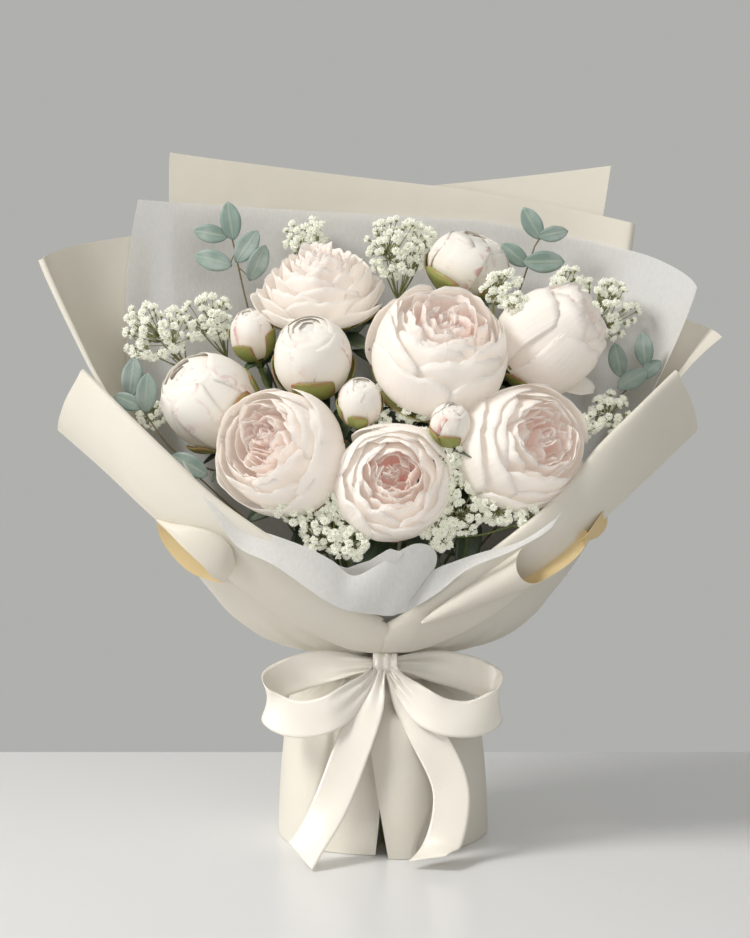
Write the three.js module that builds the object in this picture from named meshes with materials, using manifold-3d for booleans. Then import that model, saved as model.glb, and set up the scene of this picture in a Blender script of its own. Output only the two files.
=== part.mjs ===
// A standing hand-tied bunch of peonies, gypsophila and eucalyptus in cream paper, tissue and a satin bow.
// Millimetres, +Z up. The bunch stands on its cut stems and the rim of its paper skirt at z = 0, and its
// front faces -Y.
import * as THREE from 'three';
import { mergeVertices } from 'three/addons/utils/BufferGeometryUtils.js';
import Module from 'manifold-3d';

const wasm = await Module();
wasm.setup();

// Overall sizes.
const HEAD_WIDTH = 560;       // across the paper, from the left peak to the right corner
const HEAD_DEPTH = 256;       // front to back, at the widest
const HEAD_RISE = 437;        // from the tie up to the highest corner of paper
const TIE_HEIGHT = 146;       // middle of the ribbon band above the table

// The stems.
const PEONY_STEM_RADIUS = 2.6;
const SPRAY_STEM_RADIUS = 1.4;
const SPRIG_STEM_RADIUS = 1.5;
const STEM_SIDES = 6;
const THIN_SIDES = 5;         // of the sprays' and sprigs' stems
const TIE_RING_RADII = [7, 15, 24];    // the three rings of stems, where they are tied
const FOOT_RING_RADII = [20, 42, 64];  // the same rings, on the table
const FOOT_TWIST = 26;                 // degrees the stems turn between the tie and the table

// The paper, tissue, ribbon and twine.
const PAPER = 1.2;            // thickness of a paper solid
const TISSUE = 1;             // thickness of a tissue solid
const LAYER_STEP = 4;         // from one sheet of the head to the next
const OUTER_LAYER = 2.3;      // the sheets of the bowl lie this many steps outside the tissue
const GATHERED = OUTER_LAYER * LAYER_STEP;
const NECK_RADIUS = 36;       // inside the gathered sheets, at the tie
const NECK_GAP = 9;           // from the gathered sheets to the ribbon band over them
const RIBBON_WIDTH = 30;
const RIBBON_THICKNESS = 1.2;
const BAND_WIDTH = 18;        // the ribbon, creased as it goes round the neck
const BAND_RISE = 5.8;        // with the gathered sheets' thickness taken off, the band's middle above the tie
const BAND_TILT = 8;          // the band is this much higher at the front than at the sides
const TWINE_RADIUS = 1.2;
const TWINE_GAP = 4.6;        // from the outer stems to the twine

// The skirt.
const SKIRT_FOOT_RADIUS = 90;
const SKIRT_SHOULDER_RADIUS = 77;
const SKIRT_SHOULDER_DROP = 28;   // from the tie down to the shoulder
const SKIRT_TOP_DROP = 2;         // from the tie down to the skirt's gathered top
const SKIRT_OPEN_GAP = 1;         // from the band's lower edge down to where the skirt opens out
const SKIRT_HEM = 8;              // the skirt is upright for this far above the table
const SKIRT_SLIT = 7;             // degrees left open at the front
const SKIRT_NECK_GAP = 2;         // from the gathered sheets out to the skirt's top

// The nominal head that the points below are given for.
const NOMINAL_WIDTH = 560;
const NOMINAL_DEPTH = 256;
const NOMINAL_RISE = 437;
const NOMINAL_TIE = 146;

const COLOURS = {
  petal: 0xf3e6e0,
  stem: 0x6f8a4e,
  floret: 0xeef0e2,
  eucalyptus: 0x7f9c92,
  paper: 0xf2ecdc,
  tissue: 0xf4f4f2,
  ribbon: 0xf6efdf,
  twine: 0xc9b48a,
};

const bouquet = new THREE.Group();
const radians = THREE.MathUtils.degToRad;

// ---------------------------------------------------------------------------------------------
// Helpers

function add(name, geometry, colour, roughness = 0.8) {
  const material = new THREE.MeshStandardMaterial({ color: colour, roughness, metalness: 0 });
  const mesh = new THREE.Mesh(geometry, material);
  mesh.name = name;
  bouquet.add(mesh);
  return mesh;
}

const WIDER = HEAD_WIDTH / NOMINAL_WIDTH;
const DEEPER = HEAD_DEPTH / NOMINAL_DEPTH;
const NECK_HEIGHT = 22; // above the tie, the gathered neck keeps its own height
const TALLER = (HEAD_RISE - NECK_HEIGHT) / (NOMINAL_RISE - NECK_HEIGHT);
const BLOOM_SCALE = Math.cbrt(WIDER * DEEPER * TALLER);

function headHeight(z) {
  const above = z - NOMINAL_TIE;
  return TIE_HEIGHT + Math.min(above, NECK_HEIGHT) + Math.max(0, above - NECK_HEIGHT) * TALLER;
}

// A point of the nominal head, moved with the overall sizes.
function head(x, y, z) {
  return new THREE.Vector3(x * WIDER, y * DEEPER, headHeight(z));
}

// A point on a ring round the upright axis.
function onRing(radius, degrees, z) {
  const angle = radians(degrees);
  return new THREE.Vector3(radius * Math.cos(angle), radius * Math.sin(angle), z);
}

// A value read off a list of [place, value] pairs, with straight lines between them.
function along(pairs, place) {
  const last = pairs.length - 1;
  if (place <= pairs[0][0]) return pairs[0][1];
  for (let i = 0; i < last; i += 1) {
    const [from, to] = [pairs[i], pairs[i + 1]];
    if (place <= to[0]) {
      return THREE.MathUtils.mapLinear(place, from[0], to[0], from[1], to[1]);
    }
  }
  return pairs[last][1];
}

function geometryOf(points, indices) {
  const geometry = new THREE.BufferGeometry();
  geometry.setAttribute('position', new THREE.Float32BufferAttribute(points.flatMap((p) => p.toArray()), 3));
  geometry.setIndex(indices);
  return geometry;
}

function signedVolume(points, indices) {
  let total = 0;
  for (let i = 0; i < indices.length; i += 3) {
    const [a, b, c] = [points[indices[i]], points[indices[i + 1]], points[indices[i + 2]]];
    total += a.dot(new THREE.Vector3().crossVectors(b, c)) / 6;
  }
  return total;
}

// A closed sheet of even thickness over a grid of points. A ring closes on itself across its columns.
function sheet(grid, thickness, ring = false) {
  const rows = grid.length;
  const columns = grid[0].length;
  const across = (j) => (ring ? (j + columns) % columns : THREE.MathUtils.clamp(j, 0, columns - 1));
  const points = [];
  for (const side of [0.5, -0.5]) {
    for (let i = 0; i < rows; i += 1) {
      for (let j = 0; j < columns; j += 1) {
        const up = grid[Math.min(i + 1, rows - 1)][j].clone().sub(grid[Math.max(i - 1, 0)][j]);
        const over = grid[i][across(j + 1)].clone().sub(grid[i][across(j - 1)]);
        const normal = over.cross(up).normalize();
        points.push(grid[i][j].clone().addScaledVector(normal, thickness * side));
      }
    }
  }
  const at = (side, i, j) => side * rows * columns + i * columns + across(j);
  const indices = [];
  const quad = (a, b, c, d) => indices.push(a, b, c, a, c, d);
  const lastColumn = ring ? columns : columns - 1;
  for (let i = 0; i < rows - 1; i += 1) {
    for (let j = 0; j < lastColumn; j += 1) {
      quad(at(0, i, j), at(0, i, j + 1), at(0, i + 1, j + 1), at(0, i + 1, j));
      quad(at(1, i, j), at(1, i + 1, j), at(1, i + 1, j + 1), at(1, i, j + 1));
    }
  }
  for (let j = 0; j < lastColumn; j += 1) {
    quad(at(0, 0, j), at(1, 0, j), at(1, 0, j + 1), at(0, 0, j + 1));
    quad(at(0, rows - 1, j), at(0, rows - 1, j + 1), at(1, rows - 1, j + 1), at(1, rows - 1, j));
  }
  if (!ring) {
    const end = columns - 1;
    for (let i = 0; i < rows - 1; i += 1) {
      quad(at(0, i, 0), at(0, i + 1, 0), at(1, i + 1, 0), at(1, i, 0));
      quad(at(0, i, end), at(1, i, end), at(1, i + 1, end), at(0, i + 1, end));
    }
  }
  if (signedVolume(points, indices) < 0) indices.reverse();
  return geometryOf(points, indices);
}

// A smooth grid through a net of control points, given as rows.
function smoothGrid(net, rows, columns) {
  const acrossRows = net.map((row) => {
    const curve = new THREE.CatmullRomCurve3(row, false, 'centripetal');
    return Array.from({ length: columns }, (_, j) => curve.getPoint(j / (columns - 1)));
  });
  const upColumns = Array.from({ length: columns }, (_, j) => {
    const curve = new THREE.CatmullRomCurve3(acrossRows.map((row) => row[j]), false, 'centripetal');
    return Array.from({ length: rows }, (_, i) => curve.getPoint(i / (rows - 1)));
  });
  return Array.from({ length: rows }, (_, i) => upColumns.map((column) => column[i]));
}

// A round bar along a curve.
function bar(curve, radius, steps, sides = STEM_SIDES) {
  const section = new THREE.Shape();
  for (let k = 0; k < sides; k += 1) {
    const angle = 2 * Math.PI * k / sides;
    const [x, y] = [radius * Math.cos(angle), radius * Math.sin(angle)];
    if (k === 0) section.moveTo(x, y);
    else section.lineTo(x, y);
  }
  section.closePath();
  return new THREE.ExtrudeGeometry(section, { steps, bevelEnabled: false, extrudePath: curve });
}

function solid(geometry) {
  let bare = geometry.index ? geometry.toNonIndexed() : geometry.clone();
  bare.deleteAttribute('normal');
  bare.deleteAttribute('uv');
  bare = mergeVertices(bare, 1e-4);
  return new wasm.Manifold(new wasm.Mesh({
    numProp: 3,
    vertProperties: new Float32Array(bare.attributes.position.array),
    triVerts: new Uint32Array(bare.index.array),
  }));
}

function joined(solids) {
  return solids.slice(1).reduce((whole, next) => whole.add(next), solids[0]);
}

// The outer surface of a joined solid: pockets sealed between its pieces are filled, and slivers left out.
const SLIVER = 1; // cubic millimetres

function geometryOfSolid(whole) {
  const filled = joined(whole.decompose().filter((shell) => shell.volume() > SLIVER));
  const mesh = filled.getMesh();
  const geometry = new THREE.BufferGeometry();
  const stride = mesh.numProp;
  const positions = [];
  for (let i = 0; i < mesh.vertProperties.length; i += stride) {
    positions.push(mesh.vertProperties[i], mesh.vertProperties[i + 1], mesh.vertProperties[i + 2]);
  }
  geometry.setAttribute('position', new THREE.Float32BufferAttribute(positions, 3));
  geometry.setIndex(Array.from(mesh.triVerts));
  return geometry;
}

// ---------------------------------------------------------------------------------------------
// The stems of the bunch. Each goes from its cut end on the table, through its place in one of three
// rings at the tie, and up through the points given to where its flower or tip begins.

const FOOT_CUT = 0.6; // the cut end is flat, this far into the stem's first step

function stemCurve(ring, tieAngle, upper) {
  const foot = onRing(FOOT_RING_RADII[ring], tieAngle + FOOT_TWIST, 0);
  const low = onRing(
    (FOOT_RING_RADII[ring] + TIE_RING_RADII[ring]) / 2,
    tieAngle + FOOT_TWIST / 2,
    TIE_HEIGHT * 0.45,
  );
  const tie = onRing(TIE_RING_RADII[ring], tieAngle, TIE_HEIGHT);
  return new THREE.CatmullRomCurve3([foot, low, tie, ...upper], false, 'centripetal');
}

// Trims a stem flat at the table: a bar's end is square to its curve, so it starts a little below.
function tableCutter() {
  const box = new THREE.BoxGeometry(400, 400, 40);
  box.translate(0, 0, -20);
  return solid(box);
}
const belowTable = tableCutter();

function stemSolid(ring, tieAngle, upper, radius, steps, sides = THIN_SIDES) {
  const curve = stemCurve(ring, tieAngle, upper);
  const start = curve.getPoint(0);
  const direction = curve.getTangent(0);
  const lowered = start.clone().addScaledVector(direction, -4 * FOOT_CUT * radius);
  const longer = new THREE.CatmullRomCurve3([lowered, ...curve.points], false, 'centripetal');
  return solid(bar(longer, radius, steps, sides)).subtract(belowTable);
}

// ---------------------------------------------------------------------------------------------
// Peonies. A bloom is given by its middle, its facing direction, its radius and its depth along that
// direction; the stem comes in at its back.

const PEONIES = [
  { name: 'peony_back_left', at: [-54, 18, 467], face: [-0.1, -0.35, 1], radius: 50, depth: 62,
    ring: 0, tie: 150, via: [[-30, 22, 330]] },
  { name: 'peony_centre_right', at: [47, -52, 420], face: [0.15, -0.75, 0.65], radius: 53, depth: 84,
    ring: 0, tie: 300, via: [[20, -10, 310]] },
  { name: 'peony_right', at: [142, -16, 424], face: [0.75, -0.25, 0.6], radius: 40, depth: 88,
    ring: 1, tie: 350, via: [[72, -2, 310]] },
  { name: 'peony_front_left', at: [-82, -76, 333], face: [-0.45, -0.85, 0.3], radius: 49, depth: 78,
    ring: 1, tie: 215, via: [[-36, -30, 250]] },
  { name: 'peony_front_middle', at: [8, -90, 309], face: [0.02, -0.95, 0.2], radius: 45, depth: 78,
    ring: 1, tie: 275, via: [[4, -34, 240]] },
  { name: 'peony_front_right', at: [113, -74, 337], face: [0.45, -0.85, 0.25], radius: 48, depth: 80,
    ring: 1, tie: 322, via: [[50, -32, 250]] },
  { name: 'peony_ball_left', at: [-144, -28, 371], face: [-0.6, -0.35, 0.6], radius: 38, depth: 78,
    ring: 2, tie: 206, via: [[-72, -24, 270]] },
  { name: 'peony_ball_middle', at: [-58, -40, 409], face: [-0.1, -0.55, 0.75], radius: 32, depth: 64,
    ring: 0, tie: 222, via: [[-26, -14, 300]] },
  { name: 'peony_ball_top', at: [74, 34, 484], face: [0.35, -0.2, 0.9], radius: 34, depth: 54,
    ring: 0, tie: 30, via: [[36, 26, 340]] },
  { name: 'peony_bud_left', at: [-110, -2, 426], face: [-0.2, -0.3, 0.9], radius: 18.5, depth: 42,
    ring: 2, tie: 174, via: [[-60, 4, 300]] },
  { name: 'peony_bud_middle', at: [-18, -72, 374], face: [0.05, -0.45, 0.85], radius: 18, depth: 38,
    ring: 1, tie: 246, via: [[-12, -34, 270]] },
  { name: 'peony_bud_right', at: [54, -94, 358], face: [0.1, -0.5, 0.85], radius: 16, depth: 34,
    ring: 1, tie: 298, via: [[32, -42, 245], [56, -66, 305]] },
];

// The side of a bloom, from its base to its top, as shares of its radius and depth.
const BLOOM_PROFILE = [[0, 0], [0.5, 0.06], [0.86, 0.24], [1, 0.5], [0.9, 0.78], [0.55, 0.96], [0, 1]];
const BLOOM_SIDES = 10;

function bloomSolid(middle, facing, radius, depth) {
  const profile = BLOOM_PROFILE.map(([r, d]) => new THREE.Vector2(r * radius, (d - 0.5) * depth));
  const bloom = new THREE.LatheGeometry(profile, BLOOM_SIDES);
  bloom.applyQuaternion(new THREE.Quaternion().setFromUnitVectors(new THREE.Vector3(0, 1, 0), facing));
  bloom.translate(middle.x, middle.y, middle.z);
  return solid(bloom);
}

function peony({ name, at, face, radius, depth: nominalDepth, ring, tie, via }) {
  const middle = head(...at);
  const depth = nominalDepth * BLOOM_SCALE;
  const facing = new THREE.Vector3(...face).normalize();
  const intoBloom = middle.clone().addScaledVector(facing, -0.25 * depth);
  const behind = middle.clone().addScaledVector(facing, -0.72 * depth);
  const stem = stemSolid(ring, tie, [...via.map((p) => head(...p)), behind, intoBloom], PEONY_STEM_RADIUS, 12, STEM_SIDES);
  add(name, geometryOfSolid(joined([stem, bloomSolid(middle, facing, radius * BLOOM_SCALE, depth)])), COLOURS.petal);
}

// ---------------------------------------------------------------------------------------------
// Gypsophila. Each spray is a stem that forks into clouds of florets, given as [x, y, z, radius].

const SPRAYS = [
  { name: 'gypsophila_top', ring: 1, tie: 70, via: [[14, 46, 330]],
    clouds: [[14, 42, 500, 26], [36, 54, 508, 11]] },
  { name: 'gypsophila_back_left', ring: 1, tie: 128, via: [[-46, 56, 330]],
    clouds: [[-66, 83, 508, 17]] },
  { name: 'gypsophila_left', ring: 2, tie: 156, via: [[-104, 24, 300], [-156, 20, 385]],
    clouds: [[-190, -12, 428, 26], [-196, 0, 358, 11]] },
  { name: 'gypsophila_left_inner', ring: 2, tie: 138, via: [[-80, 42, 300]],
    clouds: [[-150, 30, 438, 21]] },
  { name: 'gypsophila_centre', ring: 0, tie: 80, via: [[10, 2, 280]],
    clouds: [[8, -22, 370, 14]] },
  { name: 'gypsophila_top_right', ring: 2, tie: 30, via: [[66, 14, 330]],
    clouds: [[100, -14, 466, 15]] },
  { name: 'gypsophila_right', ring: 2, tie: 8, via: [[92, 18, 300]],
    clouds: [[190, 31, 446, 26]] },
  { name: 'gypsophila_right_low', ring: 2, tie: 342, via: [[84, -12, 280]],
    clouds: [[190, -20, 362, 15]] },
  { name: 'gypsophila_front_left', ring: 2, tie: 248, via: [[-20, -48, 225]],
    clouds: [[-47, -88, 270, 18]] },
  { name: 'gypsophila_front_right', ring: 2, tie: 304, via: [[30, -44, 225]],
    clouds: [[68, -84, 282, 18]] },
];

const FORK_SHARE = 0.5; // where a spray forks, as a share of the way from its last bend to its cloud

function cloudSolid(middle, radius) {
  const cloud = new THREE.IcosahedronGeometry(radius, 1);
  cloud.translate(middle.x, middle.y, middle.z);
  return solid(cloud);
}

function spray({ name, ring, tie, via, clouds }) {
  const bends = via.map((p) => head(...p));
  const middles = clouds.map(([x, y, z]) => head(x, y, z));
  const main = stemSolid(ring, tie, [...bends, middles[0]], SPRAY_STEM_RADIUS, 11);
  const solids = [main];
  clouds.forEach(([, , , radius], k) => {
    solids.push(cloudSolid(middles[k], radius));
    if (k > 0) {
      const fork = bends[bends.length - 1].clone().lerp(middles[0], FORK_SHARE);
      solids.push(solid(bar(new THREE.LineCurve3(fork, middles[k]), SPRAY_STEM_RADIUS, 1)));
    }
  });
  add(name, geometryOfSolid(joined(solids)), COLOURS.floret);
}

// ---------------------------------------------------------------------------------------------
// Eucalyptus. Each sprig is a stem with flat oval leaves, given as [x, y, z, length, tilt] with the tilt
// in degrees from upright, to the right.

const SPRIGS = [
  { name: 'eucalyptus_top_left', ring: 2, tie: 116, via: [[-70, 66, 320], [-112, 62, 430]], tip: [-130, 56, 508],
    leaves: [[-131, 54, 522, 34, -8], [-148, 54, 511, 30, -80], [-117, 54, 500, 34, 35],
      [-146, 54, 488, 34, -75], [-108, 54, 486, 34, 25]] },
  { name: 'eucalyptus_left', ring: 2, tie: 190, via: [[-96, -8, 290], [-170, -20, 325]], tip: [-206, -24, 372],
    leaves: [[-209, -22, 391, 34, 8], [-197, -26, 378, 34, 5], [-212, -27, 371, 26, -65]] },
  { name: 'eucalyptus_top_right', ring: 2, tie: 54, via: [[70, 56, 320], [112, 56, 440]], tip: [132, 52, 500],
    leaves: [[130, 52, 520, 32, -30], [148, 50, 511, 26, 80], [115, 52, 493, 30, -50], [140, 48, 487, 36, 90]] },
  { name: 'eucalyptus_right', ring: 2, tie: 325, via: [[100, -22, 270], [170, 4, 340]], tip: [212, 2, 384],
    leaves: [[200, 4, 404, 30, -12], [222, 4, 413, 30, -5], [212, 2, 388, 30, 60], [227, 3, 396, 24, 50]] },
  { name: 'eucalyptus_front_left', ring: 2, tie: 224, via: [[-78, -42, 240], [-130, -52, 290]], tip: [-152, -60, 312],
    leaves: [[-158, -62, 321, 34, -60]] },
];

const LEAF_BREADTH = 0.56; // of its length
const LEAF_THICKNESS = 1.6;

function leafSolid(middle, length, tilt) {
  const leaf = new THREE.SphereGeometry(0.5, 6, 3);
  leaf.scale(length * LEAF_BREADTH, LEAF_THICKNESS, length);
  leaf.rotateY(radians(tilt));
  leaf.rotateZ(radians(tilt > 0 ? -18 : 18));
  leaf.translate(middle.x, middle.y, middle.z);
  return solid(leaf);
}

function sprig({ name, ring, tie, via, tip, leaves }) {
  const bends = via.map((p) => head(...p));
  const end = head(...tip);
  const solids = [stemSolid(ring, tie, [...bends, end], SPRIG_STEM_RADIUS, 11)];
  const low = bends[bends.length - 1];
  for (const [x, y, z, length, tilt] of leaves) {
    const middle = head(x, y, z);
    const share = THREE.MathUtils.clamp((middle.z - low.z) / (end.z - low.z) - 0.15, 0.3, 1);
    const node = low.clone().lerp(end, share);
    solids.push(leafSolid(middle, length, tilt));
    solids.push(solid(bar(new THREE.LineCurve3(node, middle), 0.7 * SPRIG_STEM_RADIUS, 1, 4)));
  }
  add(name, geometryOfSolid(joined(solids)), COLOURS.eucalyptus);
}

// ---------------------------------------------------------------------------------------------
// The paper round the head. Every sheet is part of one funnel, each layer a step outside the last. The
// funnel's half width and its depths to the back and front are given against height.

const SIDE_PROFILE = [[148, 36], [157, 37.5], [163, 45], [168, 60], [173, 84], [181, 104], [196, 124],
  [212, 137], [230, 151], [255, 167], [282, 182], [305, 194], [330, 206], [400, 240], [500, 276], [580, 300]];
const BACK_PROFILE = [[148, 36], [157, 37], [163, 39], [168, 43], [173, 48], [181, 53], [196, 60], [212, 66],
  [230, 71], [260, 79], [300, 87], [350, 94], [400, 99], [450, 103], [600, 114]];
const FRONT_PROFILE = [[148, 36], [157, 37], [163, 39], [168, 43], [173, 49], [181, 59], [196, 74], [212, 87],
  [230, 98], [250, 110], [280, 121], [305, 128], [330, 133], [420, 138]];
const NOMINAL_NECK = 36;

const NECK_BLEND = [[157, 1], [200, 0]]; // how far up the funnel a wider neck is felt

function funnelBase(degrees, z) {
  const angle = radians(degrees);
  const gathered = along(NECK_BLEND, z);
  const opened = (profile, scale) => (
    THREE.MathUtils.lerp(NOMINAL_NECK * scale, NECK_RADIUS, gathered) + (along(profile, z) - NOMINAL_NECK) * scale);
  const half = opened(SIDE_PROFILE, WIDER);
  const depth = opened(Math.sin(angle) > 0 ? BACK_PROFILE : FRONT_PROFILE, DEEPER);
  return new THREE.Vector3(half * Math.cos(angle), depth * Math.sin(angle), headHeight(z));
}

// A point of the funnel, moved out square to it.
function funnel(degrees, z, out) {
  const round = funnelBase(degrees + 1, z).sub(funnelBase(degrees - 1, z));
  const up = funnelBase(degrees, z + 3).sub(funnelBase(degrees, z - 3));
  return funnelBase(degrees, z).addScaledVector(round.cross(up).normalize(), out);
}

// A sheet of the funnel. Its first rows are shared ones, the others reach up to its edge. left and right are
// its edges as [height, degrees] lists, top its upper edge as
// [share across, height], and flare pushes it out by an amount that depends on the share across and height.
function funnelSheet(name, { layer, left, right, top, shared, rows, columns, flare, colour, thickness }) {
  const grid = [];
  for (let i = 0; i <= rows; i += 1) {
    const row = [];
    for (let j = 0; j <= columns; j += 1) {
      const across = j / columns;
      const edge = shared - 1;
      const free = (i - edge) / (rows - edge);
      const z = free <= 0 ? LOWER_ROWS[i] : THREE.MathUtils.lerp(LOWER_ROWS[edge], along(top, across), free);
      const degrees = THREE.MathUtils.lerp(along(left, z), along(right, z), across);
      const out = LAYER_STEP * layer + (flare ? flare(across, z) : 0);
      row.push(funnel(degrees, z, out));
    }
    grid.push(row);
  }
  add(name, sheet(grid, thickness), colour);
}

// The rows that every sheet shares where it leaves the tie, so that one nests in the next.
const LOWER_ROWS = [148, 157, 163, 168, 173, 181, 196, 222, 256, 300];

function headPaper() {
  funnelSheet('tissue_back', {
    layer: 0, colour: COLOURS.tissue, thickness: TISSUE, shared: 10, rows: 12, columns: 12,
    left: [[148, 196], [235, 188], [330, 168], [430, 151], [545, 137]],
    right: [[148, -16], [235, -10], [330, -6], [400, 0], [470, 4]],
    top: [[0, 541], [0.5, 524], [0.8, 492], [1, 466]],
  });
  funnelSheet('paper_long', {
    layer: 1, colour: COLOURS.paper, thickness: PAPER, shared: 10, rows: 12, columns: 8,
    left: [[148, 150], [330, 140], [585, 128]],
    right: [[148, 30], [330, 34], [530, 41]],
    top: [[0, 583], [0.6, 552], [1, 522]],
  });
  funnelSheet('paper_back', {
    layer: 2.2, colour: COLOURS.paper, thickness: PAPER, shared: 10, rows: 11, columns: 5,
    left: [[148, 120], [330, 118], [540, 112]],
    right: [[148, 44], [330, 46], [572, 48]],
    top: [[0, 540], [1, 572]],
  });
  funnelSheet('paper_side_left', {
    layer: 1.1, colour: COLOURS.paper, thickness: PAPER, shared: 10, rows: 12, columns: 7,
    left: [[148, 158], [330, 148], [520, 136]],
    right: [[148, 232], [235, 222], [330, 205], [400, 192], [500, 180]],
    top: [[0, 512], [1, 494]],
    flare: (across, z) => 6 * across * Math.max(0, (z - 300) / 194) ** 2,
  });
  funnelSheet('paper_side_right', {
    layer: 1.1, colour: COLOURS.paper, thickness: PAPER, shared: 10, rows: 12, columns: 7,
    left: [[148, 22], [330, 26], [470, 30]],
    right: [[148, -50], [235, -42], [330, -20], [380, -9], [430, -4]],
    top: [[0, 448], [1, 436]],
    flare: (across, z) => 30 * across * Math.max(0, (z - 300) / 136) ** 3,
  });
}

// The front sheets of the bowl: outermost, from the tie out to the sides.
function bowlPaper() {
  funnelSheet('paper_bowl_left', {
    layer: OUTER_LAYER, colour: COLOURS.paper, thickness: PAPER, shared: 7, rows: 9, columns: 7,
    left: [[148, 182], [330, 182]],
    right: [[148, 262], [240, 250]],
    top: [[0, 272], [0.5, 262], [1, 214]],
  });
  funnelSheet('paper_bowl_right', {
    layer: OUTER_LAYER, colour: COLOURS.paper, thickness: PAPER, shared: 7, rows: 9, columns: 7,
    left: [[148, 270], [240, 290]],
    right: [[148, 358], [330, 358]],
    top: [[0, 214], [0.5, 262], [1, 282]],
  });
}

// A turned-down band: the sheet comes up on the inside, folds over its crest and hangs down outside.
const CUFF_FOLD = 9; // between the two walls

function cuff(name, crest, hem) {
  const rows = [[], [], [], [], []];
  crest.forEach((top, k) => {
    const low = hem[k];
    const inward = new THREE.Vector3(-Math.sign(top.x) * 0.45, 1, 0).normalize();
    const inside = top.clone().addScaledVector(inward, CUFF_FOLD);
    rows[0].push(inside.clone().lerp(low.clone().addScaledVector(inward, CUFF_FOLD), 0.7));
    rows[1].push(inside.clone().lerp(low.clone().addScaledVector(inward, CUFF_FOLD), 0.15));
    rows[2].push(top.clone().addScaledVector(inward, CUFF_FOLD / 2));
    rows[3].push(top.clone().lerp(low, 0.15));
    rows[4].push(low);
  });
  add(name, sheet(smoothGrid(rows, 9, 11), PAPER), COLOURS.paper);
}

function cuffs() {
  cuff(
    'paper_cuff_left',
    [head(-249, -48, 396), head(-207, -78, 359), head(-170, -97, 326), head(-139, -107, 298),
      head(-66, -116, 247), head(-8, -98, 207)],
    [head(-266, -60, 350), head(-222, -90, 316), head(-181, -108, 283), head(-133, -120, 255),
      head(-62, -122, 215), head(-6, -94, 192)],
  );
  cuff(
    'paper_cuff_right',
    [head(244, -50, 395), head(209, -79, 366), head(175, -97, 335), head(144, -105, 298),
      head(78, -112, 245), head(22, -100, 207)],
    [head(258, -60, 349), head(221, -90, 319), head(180, -107, 288), head(129, -117, 251),
      head(78, -118, 213), head(20, -96, 192)],
  );
}

// The front tissue: a fan whose rim dips either side of a lobe at the middle, folded in an S.
function frontTissue() {
  funnelSheet('tissue_front', {
    layer: 0, colour: COLOURS.tissue, thickness: TISSUE, shared: 7, rows: 10, columns: 14,
    left: [[148, 208], [240, 214], [327, 218]],
    right: [[148, 332], [240, 328], [296, 324]],
    top: [[0, 327], [0.05, 300], [0.16, 274], [0.28, 258], [0.4, 242], [0.51, 262], [0.58, 256], [0.65, 236],
      [0.79, 252], [0.92, 268], [1, 296]],
    flare: (across, z) => 7 * Math.max(0, (z - 196) / 66) * Math.exp(-(((across - 0.52) / 0.06) ** 2)),
  });
}

// ---------------------------------------------------------------------------------------------
// Below the tie: the skirt, the ribbon and the twine.

function skirtProfile() {
  const shoulder = TIE_HEIGHT - SKIRT_SHOULDER_DROP;
  const neck = NECK_RADIUS + GATHERED + SKIRT_NECK_GAP;
  const open = TIE_HEIGHT + BAND_RISE - GATHERED - BAND_WIDTH / 2 - SKIRT_OPEN_GAP;
  return [[0, SKIRT_FOOT_RADIUS], [SKIRT_HEM, SKIRT_FOOT_RADIUS], [shoulder * 0.6, SKIRT_FOOT_RADIUS - 4], [shoulder, SKIRT_SHOULDER_RADIUS],
    [(shoulder + open) / 2 + 2, (SKIRT_SHOULDER_RADIUS + neck) / 2 + 5], [open, neck + 2],
    [TIE_HEIGHT - SKIRT_TOP_DROP, neck]];
}

function skirt() {
  const columns = 24;
  const grid = skirtProfile().map(([z, radius]) => Array.from({ length: columns + 1 }, (_, j) => {
    const degrees = THREE.MathUtils.lerp(270 + SKIRT_SLIT / 2, 630 - SKIRT_SLIT / 2, j / columns);
    return onRing(radius, degrees, z);
  }));
  add('paper_skirt', sheet(grid, PAPER), COLOURS.paper);
}

// A flat strip along a curve, its width along a direction that may turn from the start to the end.
function strip(points, widths, steps, width = RIBBON_WIDTH) {
  const route = new THREE.CatmullRomCurve3(points, false, 'centripetal');
  const grid = Array.from({ length: steps + 1 }, (_, i) => {
    const share = i / steps;
    const middle = route.getPoint(share);
    const place = share * (widths.length - 1);
    const from = widths[Math.floor(place)];
    const to = widths[Math.min(Math.floor(place) + 1, widths.length - 1)];
    const direction = from.clone().lerp(to, place % 1);
    return [-0.5, 0.5].map((side) => middle.clone().addScaledVector(direction, side * width));
  });
  return solid(sheet(grid, RIBBON_THICKNESS));
}

const vector = (x, y, z) => new THREE.Vector3(x, y, z);

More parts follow.
